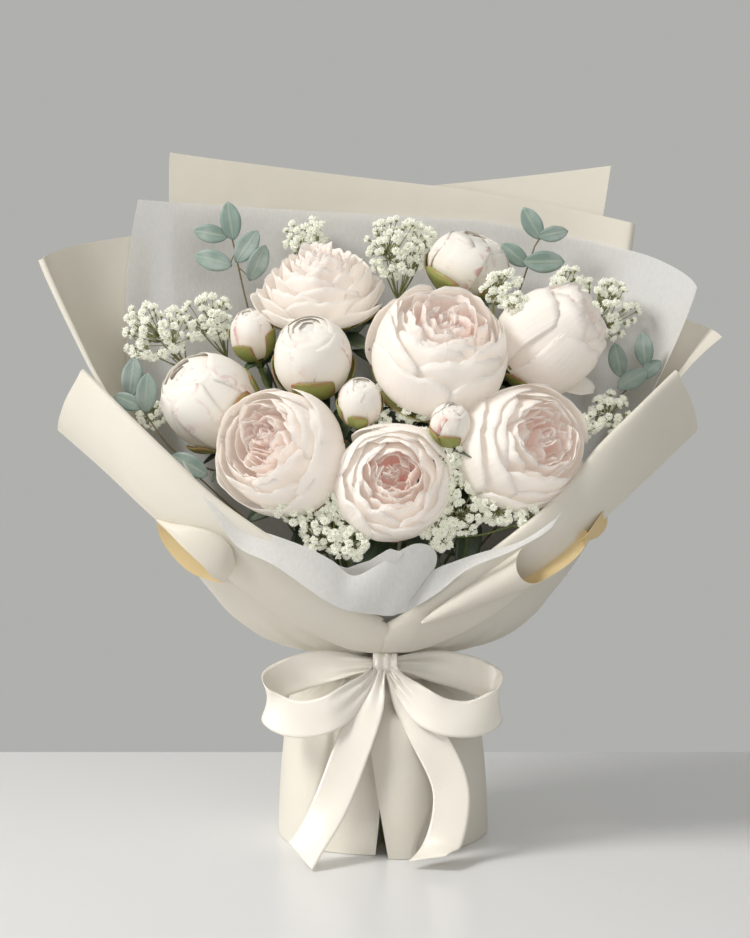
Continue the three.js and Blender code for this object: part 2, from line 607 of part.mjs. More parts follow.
function ribbon() {
  const radius = NECK_RADIUS + GATHERED + NECK_GAP;
  const band = [-0.5, 0.5].map((side) => Array.from({ length: 20 }, (_, j) => (
    onRing(radius, 18 * j, TIE_HEIGHT + BAND_RISE - GATHERED + side * BAND_WIDTH + BAND_TILT * Math.max(0, -Math.sin(radians(18 * j)))))));
  const front = -radius - 12;
  const z = TIE_HEIGHT + BAND_TILT + 6;
  const knot = new THREE.SphereGeometry(1, 8, 6);
  knot.scale(15, 12, 11);
  knot.translate(2, front + 2, z - 2);
  const loop = (side) => strip(
    [vector(side * 4, front, z - 2), vector(side * 34, front - 3, z - 4), vector(side * 68, front - 2, z - 10),
      vector(side * 88, front - 4, z - 26), vector(side * 76, front - 16, z - 42),
      vector(side * 44, front - 20, z - 34), vector(side * 6, front - 4, z - 6)],
    [vector(0, 0.5, 0.6), vector(0, 0.75, 0.55), vector(0, 0.75, 0.6), vector(0, 0.75, 0.6), vector(0, 0.4, 0.85),
      vector(0, 0.3, 0.7), vector(0, 0.2, 0.5)],
    12,
  );
  const tails = [
    strip(
      [vector(-2, front - 6, z - 6), vector(-22, front - 31, z - 60), vector(-44, front - 40, z - 116),
        vector(-66, front - 60, 9)],
      [vector(0.5, -0.1, 0), vector(0.9, -0.2, 0), vector(0.95, -0.1, 0.2), vector(0.9, 0, 0.3)],
      6,
    ),
    strip(
      [vector(6, front - 6, z - 6), vector(36, front - 28, z - 56), vector(56, front - 34, z - 102),
        vector(50, front - 46, z - 146), vector(36, front - 66, 9)],
      [vector(0.5, -0.1, 0), vector(0.8, -0.2, 0.4), vector(0.9, -0.1, 0.1), vector(0.9, 0, -0.1),
        vector(0.9, 0, 0.3)],
      8,
    ),
  ];
  const whole = joined([solid(sheet(band, RIBBON_THICKNESS, true)), solid(knot), loop(-1), loop(1), ...tails]);
  add('ribbon_bow', geometryOfSolid(whole), COLOURS.ribbon, 0.4);
}

function twine() {
  const middle = TIE_RING_RADII[2] + PEONY_STEM_RADIUS + TWINE_GAP + TWINE_RADIUS;
  const section = Array.from({ length: 7 }, (_, k) => {
    const angle = 2 * Math.PI * k / 6;
    return new THREE.Vector2(middle + TWINE_RADIUS * Math.cos(angle), 3 * TWINE_RADIUS * Math.sin(angle));
  });
  const ring = new THREE.LatheGeometry(section, 16);
  ring.rotateX(Math.PI / 2);
  ring.translate(0, 0, TIE_HEIGHT);
  add('twine', geometryOfSolid(solid(ring)), COLOURS.twine);
}

PEONIES.forEach(peony);
SPRAYS.forEach(spray);
SPRIGS.forEach(sprig);
headPaper();
bowlPaper();
cuffs();
frontTissue();
skirt();
ribbon();
twine();

// The origin is the bottom centre of the whole bunch's box.
const whole = new THREE.Box3().setFromObject(bouquet, true);
const centre = whole.getCenter(new THREE.Vector3());
bouquet.position.set(-centre.x, -centre.y, -whole.min.z);

export default bouquet;
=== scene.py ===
"""A hand-tied bunch of peonies, gypsophila and eucalyptus, wrapped in cream paper and tissue.

The bunch stands on its skirt and its cut stems, tied with twine and a satin bow. Lengths in the
tables are millimetres about the upright line through the tie; the front faces -Y.
"""

import math
import random

import bpy
import numpy as np
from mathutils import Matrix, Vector


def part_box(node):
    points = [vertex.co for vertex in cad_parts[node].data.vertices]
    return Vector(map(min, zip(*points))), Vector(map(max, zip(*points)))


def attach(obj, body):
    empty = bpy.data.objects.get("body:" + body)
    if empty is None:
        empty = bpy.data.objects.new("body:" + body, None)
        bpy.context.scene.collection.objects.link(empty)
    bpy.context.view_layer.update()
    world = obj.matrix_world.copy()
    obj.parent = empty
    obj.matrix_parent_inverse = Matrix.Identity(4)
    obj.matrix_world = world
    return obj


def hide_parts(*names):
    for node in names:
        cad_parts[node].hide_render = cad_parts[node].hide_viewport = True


bl_info = {
    "name": "Peony bunch",
    "version": (1, 0, 0),
    "blender": (4, 5, 0),
    "location": "3D View > Sidebar > Bunch",
    "description": "A wrapped, hand-tied bunch of peonies with gypsophila and eucalyptus",
    "category": "Add Mesh",
}

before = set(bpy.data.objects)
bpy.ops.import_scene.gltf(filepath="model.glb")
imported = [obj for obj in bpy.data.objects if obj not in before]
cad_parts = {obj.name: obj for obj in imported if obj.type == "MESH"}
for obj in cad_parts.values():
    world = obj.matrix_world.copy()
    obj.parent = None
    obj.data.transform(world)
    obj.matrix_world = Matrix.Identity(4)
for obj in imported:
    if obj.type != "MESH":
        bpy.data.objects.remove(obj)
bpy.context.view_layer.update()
BODY = "root"

MM = 0.001
TIE_LOW, TIE_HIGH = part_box("twine")
TIE_LINE = np.array([(TIE_LOW.x + TIE_HIGH.x) / 2, (TIE_LOW.y + TIE_HIGH.y) / 2, 0.0])
TIE_HEIGHT = 1000 * (TIE_LOW.z + TIE_HIGH.z) / 2


# ---------------------------------------------------------------------------------------------
# Sizes and colours


def length(name, description, default):
    """A size in metres that a user may change."""
    return bpy.props.FloatProperty(
        name=name, description=description, default=default, min=0.0, unit="LENGTH", precision=4
    )


def colour(name, description, default):
    """A colour that a user may change."""
    return bpy.props.FloatVectorProperty(
        name=name, description=description, default=default, size=3, min=0.0, max=1.0,
        subtype="COLOR",
    )


class BunchSizes(bpy.types.PropertyGroup):
    """Thicknesses and widths of the bunch's pieces."""

    petal_thickness: length("Petal", "Thickness of a petal at its base", 0.0004)
    leaf_thickness: length("Leaf", "Thickness of a leaf", 0.0007)
    floret_width: length("Floret", "Width of one gypsophila floret", 0.0090)
    paper_thickness: length("Paper", "Thickness of the wrapping paper", 0.0005)
    tissue_thickness: length("Tissue", "Thickness of the tissue", 0.0003)
    ribbon_width: length("Ribbon width", "Width of the satin ribbon", 0.03)
    ribbon_thickness: length("Ribbon", "Thickness of the satin ribbon", 0.0005)


class BunchColours(bpy.types.PropertyGroup):
    """Colours of the bunch's pieces."""

    petal: colour("Petal", "The outer petals", (0.955, 0.93, 0.885))
    blush: colour("Blush", "The petals at the heart of a bloom", (0.93, 0.56, 0.49))
    bud: colour("Bud", "The closed buds", (0.88, 0.80, 0.62))
    bud_mark: colour("Bud mark", "The red marks on the buds and sepals", (0.55, 0.12, 0.11))
    sepal: colour("Sepal", "The sepals", (0.22, 0.27, 0.07))
    foliage: colour("Foliage", "The peonies' own leaves", (0.035, 0.075, 0.025))
    stem: colour("Stem", "The peonies' stems", (0.14, 0.22, 0.07))
    floret: colour("Floret", "The gypsophila florets", (0.96, 0.96, 0.90))
    calyx: colour("Calyx", "The florets' cups and thin stems", (0.22, 0.27, 0.11))
    eucalyptus: colour("Eucalyptus", "The eucalyptus leaves", (0.25, 0.36, 0.31))
    twig: colour("Twig", "The eucalyptus stems", (0.22, 0.13, 0.08))
    paper: colour("Paper", "The wrapping paper", (0.83, 0.80, 0.725))
    # Deep gold of the paper's reverse: partly its own tone, partly painted shade and warm bounce light inside
    # the loops.
    paper_back: colour("Paper back", "The reverse of the paper, inside its loops", (0.83, 0.66, 0.36))
    tissue: colour("Tissue", "The tissue", (0.86, 0.855, 0.84))
    ribbon: colour("Ribbon", "The satin ribbon", (0.88, 0.83, 0.74))
    twine: colour("Twine", "The twine round the stems", (0.50, 0.38, 0.22))


# ---------------------------------------------------------------------------------------------
# Curves, grids and meshes, in millimetres about the tie's upright line


def unit(v):
    """The direction of v."""
    v = np.asarray(v, float)
    return v / np.maximum(np.linalg.norm(v, axis=-1, keepdims=True), 1e-9)


def ease(x, start=0.0, end=1.0):
    """0 before start, 1 after end, and a smooth rise between."""
    x = np.clip((np.asarray(x, float) - start) / (end - start), 0, 1)
    return x * x * (3 - 2 * x)


def smooth_path(points, count):
    """A centripetal curve through the points, at count places."""
    p = np.asarray(points, float)
    p = np.vstack([2 * p[0] - p[1], p, 2 * p[-1] - p[-2]])
    gaps = np.maximum(np.linalg.norm(np.diff(p, axis=0), axis=1) ** 0.5, 1e-4)
    places = np.linspace(0, len(p) - 3, count)
    part = np.minimum(places.astype(int), len(p) - 4)
    u = (places - part)[:, None]
    a, b, c, d = (p[part + k] for k in range(4))
    g0, g1, g2 = (gaps[part + k][:, None] for k in range(3))
    leave = ((b - a) / g0 - (c - a) / (g0 + g1) + (c - b) / g1) * g1
    arrive = ((c - b) / g1 - (d - b) / (g1 + g2) + (d - c) / g2) * g1
    cubic, square = u**3, u**2
    return (
        b * (2 * cubic - 3 * square + 1)
        + leave * (cubic - 2 * square + u)
        + c * (3 * square - 2 * cubic)
        + arrive * (cubic - square)
    )


def even_path(points, count):
    """A smooth curve through the points, at count places an equal distance apart."""
    fine = smooth_path(points, 40 * len(points))
    run = np.concatenate([[0], np.cumsum(np.linalg.norm(np.diff(fine, axis=0), axis=1))])
    places = np.linspace(0, run[-1], count)
    return np.stack([np.interp(places, run, fine[:, k]) for k in range(fine.shape[1])], axis=1)


def smooth_table(pairs):
    """A function that reads a list of (place, value) pairs along a smooth line."""
    fine = smooth_path(pairs, 30 * len(pairs))
    order = np.argsort(fine[:, 0])
    return lambda place: np.interp(place, fine[order, 0], fine[order, 1])


def straight_table(pairs):
    """A function that reads a list of (place, value) pairs along straight lines."""
    table = np.asarray(pairs, float)
    return lambda place: np.interp(place, table[:, 0], table[:, 1])


def grid_faces(rows, columns, ring=False):
    """The quads of a grid of points; a ring closes on itself across its columns."""
    i, j = np.meshgrid(np.arange(rows - 1), np.arange(columns if ring else columns - 1), indexing="ij")
    k = (j + 1) % columns
    low, high = i * columns, (i + 1) * columns
    return np.stack([low + j, low + k, high + k, high + j], -1).reshape(-1, 4)


def tint_grid(shape, along, across=0.0, heart=0.0, chance=0.0):
    """The four tint numbers of each point of a grid."""
    tint = np.empty((*shape, 4))
    for k, value in enumerate((along, across, heart, chance)):
        tint[..., k] = value
    return tint


def grid_normals(grid, ring=False):
    """The direction square to a grid of points, at each point."""
    up = np.gradient(grid, axis=0)
    if ring:
        across = (np.roll(grid, -1, axis=1) - np.roll(grid, 1, axis=1)) / 2
    else:
        across = np.gradient(grid, axis=1)
    return unit(np.cross(across, up))


def thick_sheet(grid, thickness, ring=False):
    """A closed sheet over a grid of points: its points, and the faces of its front, back and edges."""
    rows, columns = grid.shape[:2]
    offset = grid_normals(grid, ring) * (np.broadcast_to(thickness, grid.shape[:2])[..., None] / 2)
    front, back = grid + offset, grid - offset
    count = rows * columns
    faces = grid_faces(rows, columns, ring)
    column = np.arange(columns if ring else columns - 1)
    over = (column + 1) % columns
    top = (rows - 1) * columns
    edge = [
        (column + count, over + count, over, column),
        (top + column, top + over, top + over + count, top + column + count),
    ]
    if not ring:
        row = np.arange(rows - 1) * columns
        last = row + columns - 1
        edge.append((row, row + columns, row + columns + count, row + count))
        edge.append((last + count, last + columns + count, last + columns, last))
    points = np.concatenate([front.reshape(-1, 3), back.reshape(-1, 3)])
    return points, faces, faces[:, ::-1] + count, np.concatenate([np.stack(side, -1) for side in edge])


def tube_grid(path, radii, sides):
    """Rings of points round a path, with the same twist all along it."""
    path = np.asarray(path, float)
    ahead = unit(np.gradient(path, axis=0))
    side = unit(np.cross(ahead[0], [0.3, 0.9, 0.2]))
    rings = []
    angles = np.linspace(0, 2 * np.pi, sides, endpoint=False)[:, None]
    for middle, direction, radius in zip(path, ahead, np.broadcast_to(radii, len(path))):
        side = unit(side - direction * np.dot(side, direction))
        other = np.cross(direction, side)
        rings.append(middle + radius * (np.cos(angles) * side + np.sin(angles) * other))
    return np.array(rings)


NO_TINT = (0, 0, 0, 0)


def placed(name, data):
    """A new object in the scene."""
    made = bpy.data.objects.new(name, data)
    bpy.context.scene.collection.objects.link(made)
    return made


class Shape:
    """Points and faces gathered for one piece, with a finish for each face and a tint for each point."""

    def __init__(self):
        self.points, self.faces, self.tints, self.finishes, self.count = [], [], [], [], 0

    def add(self, points, faces, tint=NO_TINT, finish=0):
        """Adds points and their faces; faces is a list of arrays of corner numbers."""
        points = np.asarray(points, float).reshape(-1, 3)
        for some in faces:
            self.faces += (np.asarray(some) + self.count).tolist()
            self.finishes += [finish] * len(some)
        self.points.append(points)
        self.tints.append(np.broadcast_to(np.asarray(tint, float), (len(points), 4)))
        self.count += len(points)

    def sheet(self, grid, thickness, tint=NO_TINT, finish=0, back_finish=None, ring=False):
        """Adds a closed sheet over a grid; its back may have a finish of its own."""
        points, front, back, edge = thick_sheet(np.asarray(grid, float), thickness, ring)
        tint = np.asarray(tint, float)
        if tint.ndim == 3:
            tint = np.concatenate([tint.reshape(-1, 4)] * 2)
        start = len(self.finishes)
        self.add(points, [front, back, edge], tint, finish)
        if back_finish is not None:
            first = start + len(front)
            self.finishes[first : first + len(back)] = [back_finish] * len(back)

    def tube(self, path, radii, sides, finish=0):
        """Adds a round bar along a path, closed at both ends."""
        rings = tube_grid(path, radii, sides)
        self.add(rings, [grid_faces(len(rings), sides, ring=True)], finish=finish)
        base = self.count - len(rings) * sides
        for ring in (np.arange(sides)[::-1], np.arange(sides) + (len(rings) - 1) * sides):
            self.faces.append((ring + base).tolist())
            self.finishes.append(finish)

    def build(self, name, finishes, node, sharp=None):
        """Makes the object, in the shared frame, hangs it under its body and hides the model's part that it
        stands for.
        """
        points = np.concatenate(self.points) * MM + TIE_LINE
        mesh = bpy.data.meshes.new(name)
        mesh.from_pydata(points.tolist(), [], self.faces)
        for finish in finishes:
            mesh.materials.append(finish)
        mesh.polygons.foreach_set("material_index", np.array(self.finishes, np.int32))
        mesh.polygons.foreach_set("use_smooth", np.ones(len(mesh.polygons), bool))
        layer = mesh.attributes.new("tint", "FLOAT_COLOR", "POINT")
        layer.data.foreach_set("color", np.concatenate(self.tints).astype(np.float32).ravel())
        mesh.update()
        piece = placed(name, mesh)
        if sharp:
            mesh.set_sharp_from_angle(angle=math.radians(sharp))
        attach(piece, BODY)
        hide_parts(node)
        return piece


# ---------------------------------------------------------------------------------------------
# Finishes


class Wire:
    """A number from a shader node, which sums and products can be made with."""

    def __init__(self, finish, socket):
        self.finish, self.socket = finish, socket

    def joined(self, operation, first, second):
        """The result of one sum on two numbers."""
        return self.finish.node("ShaderNodeMath", {"operation": operation}, {0: first, 1: second})

    def __add__(self, other):
        return self.joined("ADD", self, other)

    __radd__ = __add__

    def __sub__(self, other):
        return self.joined("SUBTRACT", self, other)

    def __rsub__(self, other):
        return self.joined("SUBTRACT", other, self)

    def __mul__(self, other):
        return self.joined("MULTIPLY", self, other)

    __rmul__ = __mul__

    def step(self, start, end):
        """0 before start, 1 after end, and a smooth rise between."""
        return self.finish.node(
            "ShaderNodeMapRange", {"interpolation_type": "SMOOTHSTEP"},
            {"Value": self, "From Min": start, "From Max": end},
        )

    def from_middle(self):
        """0 where this is a half, rising to 1 where it is 0 or 1."""
        return (self - 0.5) * (self - 0.5) * 4


class Finish:
    """A material as it is wired up: any node comes from node(), by its type, settings and sockets."""

    def __init__(self, name):
        self.material = bpy.data.materials.new(name)
        self.material.use_nodes = True
        self.tree = self.material.node_tree
        self.tree.nodes.clear()

    def node(self, kind, settings=None, inputs=None, output=0):
        """A node of one type: its settings are set first, then the values or links of its sockets."""
        made = self.tree.nodes.new(kind)
        for setting, value in (settings or {}).items():
            setattr(made, setting, value)
        for socket, value in (inputs or {}).items():
            if isinstance(value, Wire):
                self.tree.links.new(value.socket, made.inputs[socket])
            elif not isinstance(value, (int, float)) and made.inputs[socket].type == "RGBA":
                made.inputs[socket].default_value = (*value[:3], 1)
            else:
                made.inputs[socket].default_value = value
        return Wire(self, made.outputs[output] if made.outputs else None)

    def mix(self, share, first, second):
        """One colour passing into another."""
        return self.node("ShaderNodeMix", {"data_type": "RGBA"}, {0: share, 6: first, 7: second}, 2)

    def place(self):
        """Where a point is, in metres."""
        return self.node("ShaderNodeTexCoord", output="Object")

    def noise(self, scale, detail=3.0, vector=None, **inputs):
        """Soft random blotches."""
        wired = {"Vector": vector or self.place(), "Scale": scale, "Detail": detail, **inputs}
        return self.node("ShaderNodeTexNoise", inputs=wired)

    def stretched(self, x, y, z):
        """The place, stretched along each direction."""
        return self.node("ShaderNodeVectorMath", {"operation": "MULTIPLY"}, {0: self.place(), 1: (x, y, z)})

    def tint(self):
        """The four tint numbers of a point: along, across, heart and chance."""
        whole = self.node("ShaderNodeAttribute", {"attribute_name": "tint"})
        parts = self.node("ShaderNodeSeparateColor", inputs={0: whole}).socket.node
        sockets = (*parts.outputs, whole.socket.node.outputs["Alpha"])
        return [Wire(self, socket) for socket in sockets]

    def together(self, x, y, z):
        """Three numbers as a place."""
        return self.node("ShaderNodeCombineXYZ", inputs={0: x, 1: y, 2: z})

    def bump(self, height, distance, strength):
        """Relief that stands a distance in metres proud."""
        inputs = {"Height": height, "Distance": distance, "Strength": strength}
        return self.node("ShaderNodeBump", inputs=inputs)

    def waves(self, direction, vector, scale, distortion):
        """Bands across a direction."""
        inputs = {"Vector": vector, "Scale": scale, "Distortion": distortion}
        return self.node("ShaderNodeTexWave", {"bands_direction": direction}, inputs)

    def done(self, surface, glow=0.0, glow_colour=(1, 1, 1)):
        """The main shader, with a share of light passing through, as thin petals and paper let it."""
        shader = self.node("ShaderNodeBsdfPrincipled", inputs=surface)
        if glow:
            through = self.node("ShaderNodeBsdfTranslucent", inputs={"Color": glow_colour})
            shader = self.node("ShaderNodeMixShader", inputs={0: glow, 1: shader, 2: through})
        self.node("ShaderNodeOutputMaterial", inputs={"Surface": shader})
        return self.material


def paler(tone, share):
    """A colour taken towards white."""
    return tuple(c + (1 - c) * share for c in tone)


def darker(tone, share):
    """A colour taken towards black."""
    return tuple(c * (1 - share) for c in tone)


def petal_finish(colours):
    """Petals of an open bloom: nearly white outside, blushing towards the heart and the base, with a faint
    painted glow.
    """
    finish = Finish("petal")
    along, across, heart, chance = finish.tint()
    veins = finish.noise(1.0, 2.0, finish.together(across * 26 + chance * 40, along * 1.6, chance * 9))
    blotch = finish.noise(34.0, 2.0)
    base = (1 - along).step(0.15, 0.95)
    blush = heart * (0.34 + 0.85 * base) + 0.05 * base
    blush = blush * (0.65 + 0.7 * blotch) + (veins - 0.5) * 0.12 * (0.1 + heart)
    rim = along.step(0.86, 1.0)
    tone = finish.mix(blush * (1 - 0.55 * rim), tuple(colours.petal), tuple(colours.blush))
    tone = finish.mix(rim * 0.25, tone, paler(colours.petal, 0.45))
    tone = finish.mix((1 - along).step(0.72, 1.0) * (1 - heart) * 0.5, tone, (0.80, 0.78, 0.52))
    return finish.done(
        {"Base Color": tone, "Roughness": 0.55 + 0.15 * blotch, "Sheen Weight": 0.25,
         "Sheen Roughness": 0.5, "Specular IOR Level": 0.3,
         # Emission here is a painted glow: the petals give off a little light of their own colour, which lifts
         # their shade.
         "Emission Color": tone, "Emission Strength": 0.10,
         "Normal": finish.bump(veins + 1.2 * blotch, 0.0010, 0.55)},
        glow=0.38, glow_colour=(0.99, 0.93, 0.88),
    )


def bud_finish(colours):
    """Petals of a closed bud: warm cream, yellower at the base, with red marks near their edges, and a faint
    painted glow.
    """
    finish = Finish("bud_petal")
    along, across, heart, chance = finish.tint()
    veins = finish.noise(1.0, 2.0, finish.together(across * 18 + chance * 30, along * 1.4, chance * 7))
    patches = finish.noise(70.0, 3.0, Distortion=1.2)
    tone = finish.mix((1 - along).step(0.25, 0.95), tuple(colours.petal), tuple(colours.bud))
    tone = finish.mix((1 - along).step(0.8, 1.0) * 0.7, tone, (0.66, 0.66, 0.30))
    marks = patches.step(0.50, 0.62) * across.from_middle().step(0.15, 0.85) * (0.35 + 0.65 * heart)
    tone = finish.mix(marks * 0.85, tone, tuple(colours.bud_mark))
    pinks = finish.noise(42.0, 2.0).step(0.52, 0.72) * (0.15 + 0.5 * heart)
    tone = finish.mix(pinks * 0.5, tone, (0.87, 0.50, 0.42))
    return finish.done(
        {"Base Color": tone, "Roughness": 0.5 + 0.12 * patches, "Sheen Weight": 0.2,
         "Sheen Roughness": 0.5, "Specular IOR Level": 0.35,
         # Emission here is a faint painted glow in the bud's own colour, which lifts its shade.
         "Emission Color": tone, "Emission Strength": 0.04,
         "Normal": finish.bump(veins, 0.0003, 0.5)},
        glow=0.25, glow_colour=(0.95, 0.88, 0.74),
    )


def sepal_finish(colours):
    """Sepals: yellow green with a red edge."""
    finish = Finish("sepal")
    along, across, *_ = finish.tint()
    patches = finish.noise(120.0)
    tone = finish.mix(patches, tuple(colours.sepal), (0.42, 0.42, 0.12))
    red = (across.from_middle().step(0.35, 0.95) + along.step(0.75, 1.0)) * patches.step(0.38, 0.62)
    tone = finish.mix(red * 0.6, tone, darker(colours.bud_mark, 0.25))
    return finish.done(
        {"Base Color": tone, "Roughness": 0.45 + 0.1 * patches,
         "Normal": finish.bump(patches, 0.0003, 0.6)},
        glow=0.08, glow_colour=(0.5, 0.55, 0.2),
    )


def leaf_finish(name, tone, vein_tone, roughness, bloom=0.0):
    """Leaves: a paler midrib and side veins, and a waxy bloom in soft patches."""
    finish = Finish(name)
    along, across, _, chance = finish.tint()
    side = across.from_middle()
    rib = 1 - side.step(0.0, 0.035)
    ribs = finish.waves("X", finish.together(along * 7 - side * 1.2, 0.0, 0.0), 1.0, 0.6)
    patches = finish.noise(60.0)
    base = finish.mix(patches, tuple(tone), paler(tone, 0.12))
    base = finish.mix(chance * 0.4, base, darker(tone, 0.45))
    base = finish.mix(rib * 0.6 + ribs.step(0.75, 1.0) * 0.16, base, vein_tone)
    if bloom:
        base = finish.mix(patches.step(0.35, 0.75) * bloom, base, paler(tone, 0.42))
    return finish.done(
        {"Base Color": base, "Roughness": roughness + 0.2 * patches,
         "Normal": finish.bump(ribs * 0.5 + rib, 0.0004, 0.5)},
        glow=0.1, glow_colour=tuple(tone),
    )


def stem_finish(name, tone, other):
    """Stems: fine lengthwise streaks of two greens or browns."""
    finish = Finish(name)
    streaks = finish.noise(1.0, vector=finish.stretched(700, 700, 60))
    tone = finish.mix(streaks, tuple(tone), other)
    return finish.done(
        {"Base Color": tone, "Roughness": 0.5 + 0.15 * streaks,
         "Normal": finish.bump(streaks, 0.0003, 0.5)}
    )


def floret_finish(colours):
    """Florets: soft white, greener towards their middle, with a painted glow."""
    finish = Finish("floret")
    along, _, _, chance = finish.tint()
    tone = finish.mix((1 - along).step(0.5, 1.0) * 0.5, tuple(colours.floret), (0.62, 0.68, 0.38))
    tone = finish.mix(chance * 0.3, tone, (0.84, 0.82, 0.66))
    grain = finish.noise(900.0, 2.0)
    return finish.done(
        {"Base Color": tone, "Roughness": 0.6 + 0.1 * grain,
         # Emission here is a painted glow that lifts the shade the florets cast on each other.
         "Emission Color": tone, "Emission Strength": 0.16,
         "Normal": finish.bump(grain, 0.0002, 0.4)},
        glow=0.32, glow_colour=(0.95, 0.96, 0.88),
    )


def calyx_finish(colours):
    """The florets' cups and thin stems: two greens in a fine grain."""
    finish = Finish("calyx")
    grain = finish.noise(500.0, 2.0)
    tone = finish.mix(grain, tuple(colours.calyx), (0.34, 0.30, 0.15))
    return finish.done({"Base Color": tone, "Roughness": 0.55 + 0.1 * grain})


def paper_finish(name, tone, warm, glow):
    """Florist's paper: matt, with fine fibres, a soft mottle and slight buckles."""
    finish = Finish(name)
    mottle = finish.noise(16.0)
    fibres = finish.noise(420.0, 5.0, Distortion=0.4)
    buckles = finish.noise(28.0, 2.0)
    base = finish.mix(mottle, tuple(tone), warm)
    base = finish.mix(fibres.step(0.35, 0.7) * 0.10, base, paler(tone, 0.6))
    return finish.done(
        {"Base Color": base, "Roughness": 0.52 + 0.16 * fibres, "Specular IOR Level": 0.38,
         "Sheen Weight": 0.12, "Sheen Roughness": 0.4,
         "Normal": finish.bump(fibres * 0.06 + buckles, 0.0022, 0.35)},
        glow=glow, glow_colour=warm,
    )


def tissue_finish(colours):
    """Tissue: thin, cool white and fibrous, so that what lies behind it shows faintly."""
    finish = Finish("tissue")
    fibres = finish.noise(1.0, 5.0, finish.stretched(520, 520, 190), Distortion=0.7)
    clouds = finish.noise(22.0)
    tone = finish.mix(clouds, tuple(colours.tissue), paler(colours.tissue, 0.35))
    return finish.done(
        {"Base Color": tone, "Roughness": 0.6 + 0.15 * fibres, "Specular IOR Level": 0.3,
         "Alpha": 0.58 + 0.30 * fibres,
         "Normal": finish.bump(fibres * 0.25 + clouds, 0.0012, 0.4)},
        glow=0.38, glow_colour=paler(colours.tissue, 0.2),
    )


def satin_finish(colours):
    """Satin: a fine twill across the width, with a soft shine drawn out along the ribbon."""
    finish = Finish("satin")
    along, across, *_ = finish.tint()
    threads = finish.waves("X", finish.together(along * 240, across * 6, 0.0), 1.0, 0.3)
    weave = finish.noise(1.0, 2.0, finish.together(along * 60, across * 90, 0.0))
    selvedge = across.from_middle().step(0.86, 0.97)
    tone = finish.mix(weave * 0.35, tuple(colours.ribbon), paler(colours.ribbon, 0.3))
    tone = finish.mix(selvedge * 0.35, tone, darker(colours.ribbon, 0.14))
    return finish.done(
        {"Base Color": tone, "Roughness": 0.24 + 0.10 * weave, "Sheen Weight": 0.30,
         "Sheen Roughness": 0.35, "Specular IOR Level": 0.65, "Anisotropic": 0.4,
         "Normal": finish.bump(threads * 0.3 + selvedge, 0.0002, 0.35)},
        glow=0.10, glow_colour=(0.93, 0.86, 0.72),
    )


def twine_finish(colours):
    """Twine: slanting strands with a rough fuzz."""
    finish = Finish("twine")
    strands = finish.waves("DIAGONAL", finish.place(), 260.0, 1.5)
    fuzz = finish.noise(900.0)
    tone = finish.mix(strands * fuzz, tuple(colours.twine), (0.24, 0.16, 0.08))
    return finish.done(
        {"Base Color": tone, "Roughness": 0.8 + 0.1 * fuzz,
         "Normal": finish.bump(strands + fuzz, 0.0006, 0.7)}
    )


FINISHES = {}


def finishes(*names):
    """The finishes of those names, each made the first time that it is asked for."""
    colours = bpy.context.scene.bunch_colours
    makers = {
        "petal": lambda: petal_finish(colours),
        "bud": lambda: bud_finish(colours),
        "sepal": lambda: sepal_finish(colours),
        "foliage": lambda: leaf_finish("foliage", colours.foliage, (0.16, 0.22, 0.08), 0.34),
        "eucalyptus": lambda: leaf_finish("eucalyptus_leaf", colours.eucalyptus, (0.42, 0.50, 0.38), 0.5, 0.55),
        "stem": lambda: stem_finish("stem", colours.stem, (0.26, 0.30, 0.10)),
        "twig": lambda: stem_finish("twig", colours.twig, (0.20, 0.20, 0.10)),
        "floret": lambda: floret_finish(colours),
        "calyx": lambda: calyx_finish(colours),
        "paper": lambda: paper_finish("paper", colours.paper, (0.82, 0.765, 0.655), 0.22),
        # The paper_back finish paints the insides of the loops gold: partly the reverse's own tone, partly
        # painted shade and warm bounce light.
        "paper_back": lambda: paper_finish("paper_back", colours.paper_back, (0.78, 0.58, 0.27), 0.2),
        "tissue": lambda: tissue_finish(colours),
        "satin": lambda: satin_finish(colours),
        "twine": lambda: twine_finish(colours),
    }
    for name in names:
        if name not in FINISHES:
            FINISHES[name] = makers[name]()
    return [FINISHES[name] for name in names]


# ---------------------------------------------------------------------------------------------
# Stems: from a cut end on the table, through a ring at the tie, and up to the flower

TIE_RINGS = (7, 15, 24)
FOOT_RINGS = (20, 42, 64)
FOOT_TWIST = 26  # degrees that a stem turns round the bunch between its foot and the tie
FOOT_Z = 0.4


def on_ring(radius, degrees, z):
    """A point on a ring round the tie's line."""
    angle = math.radians(degrees)
    return (radius * math.cos(angle), radius * math.sin(angle), z)


def stem_path(ring, tie, upper, count=44):
    """The line of a stem from the table up through its tie and the points above."""
    foot, neck = FOOT_RINGS[ring], TIE_RINGS[ring]
    lower = [
        on_ring(foot, tie + FOOT_TWIST, FOOT_Z),
        on_ring((foot + neck) / 2, tie + FOOT_TWIST / 2, TIE_HEIGHT * 0.45),
        on_ring(neck, tie, TIE_HEIGHT),
    ]
    return smooth_path([*lower, *upper], count)


def leaf_grid(base, direction, face, size, width, arch, fold, chance, blunt=1.0, rows=13, columns=7):
    """A leaf from its base along a direction: arched, and folded a little along its midrib."""
    direction, face = unit(direction), unit(face)
    side = unit(np.cross(direction, face))
    up = np.cross(side, direction)
    t = np.linspace(0, 1, rows)[:, None]
    s = np.linspace(-1, 1, columns)[None, :]
    half = width / 2 * np.maximum(np.sin(np.pi * t ** (0.85 / blunt)) ** (0.72 * blunt), 0.03)
    rise = arch * size * np.sin(np.pi * t) + fold * half * np.abs(s)
    points = (
        np.asarray(base, float)
        + (t * size)[..., None] * direction
        + (half * s)[..., None] * side
        + rise[..., None] * up
    )
    return points, tint_grid((rows, columns), t, (s + 1) / 2, chance=chance.random())


# ---------------------------------------------------------------------------------------------
# Peonies

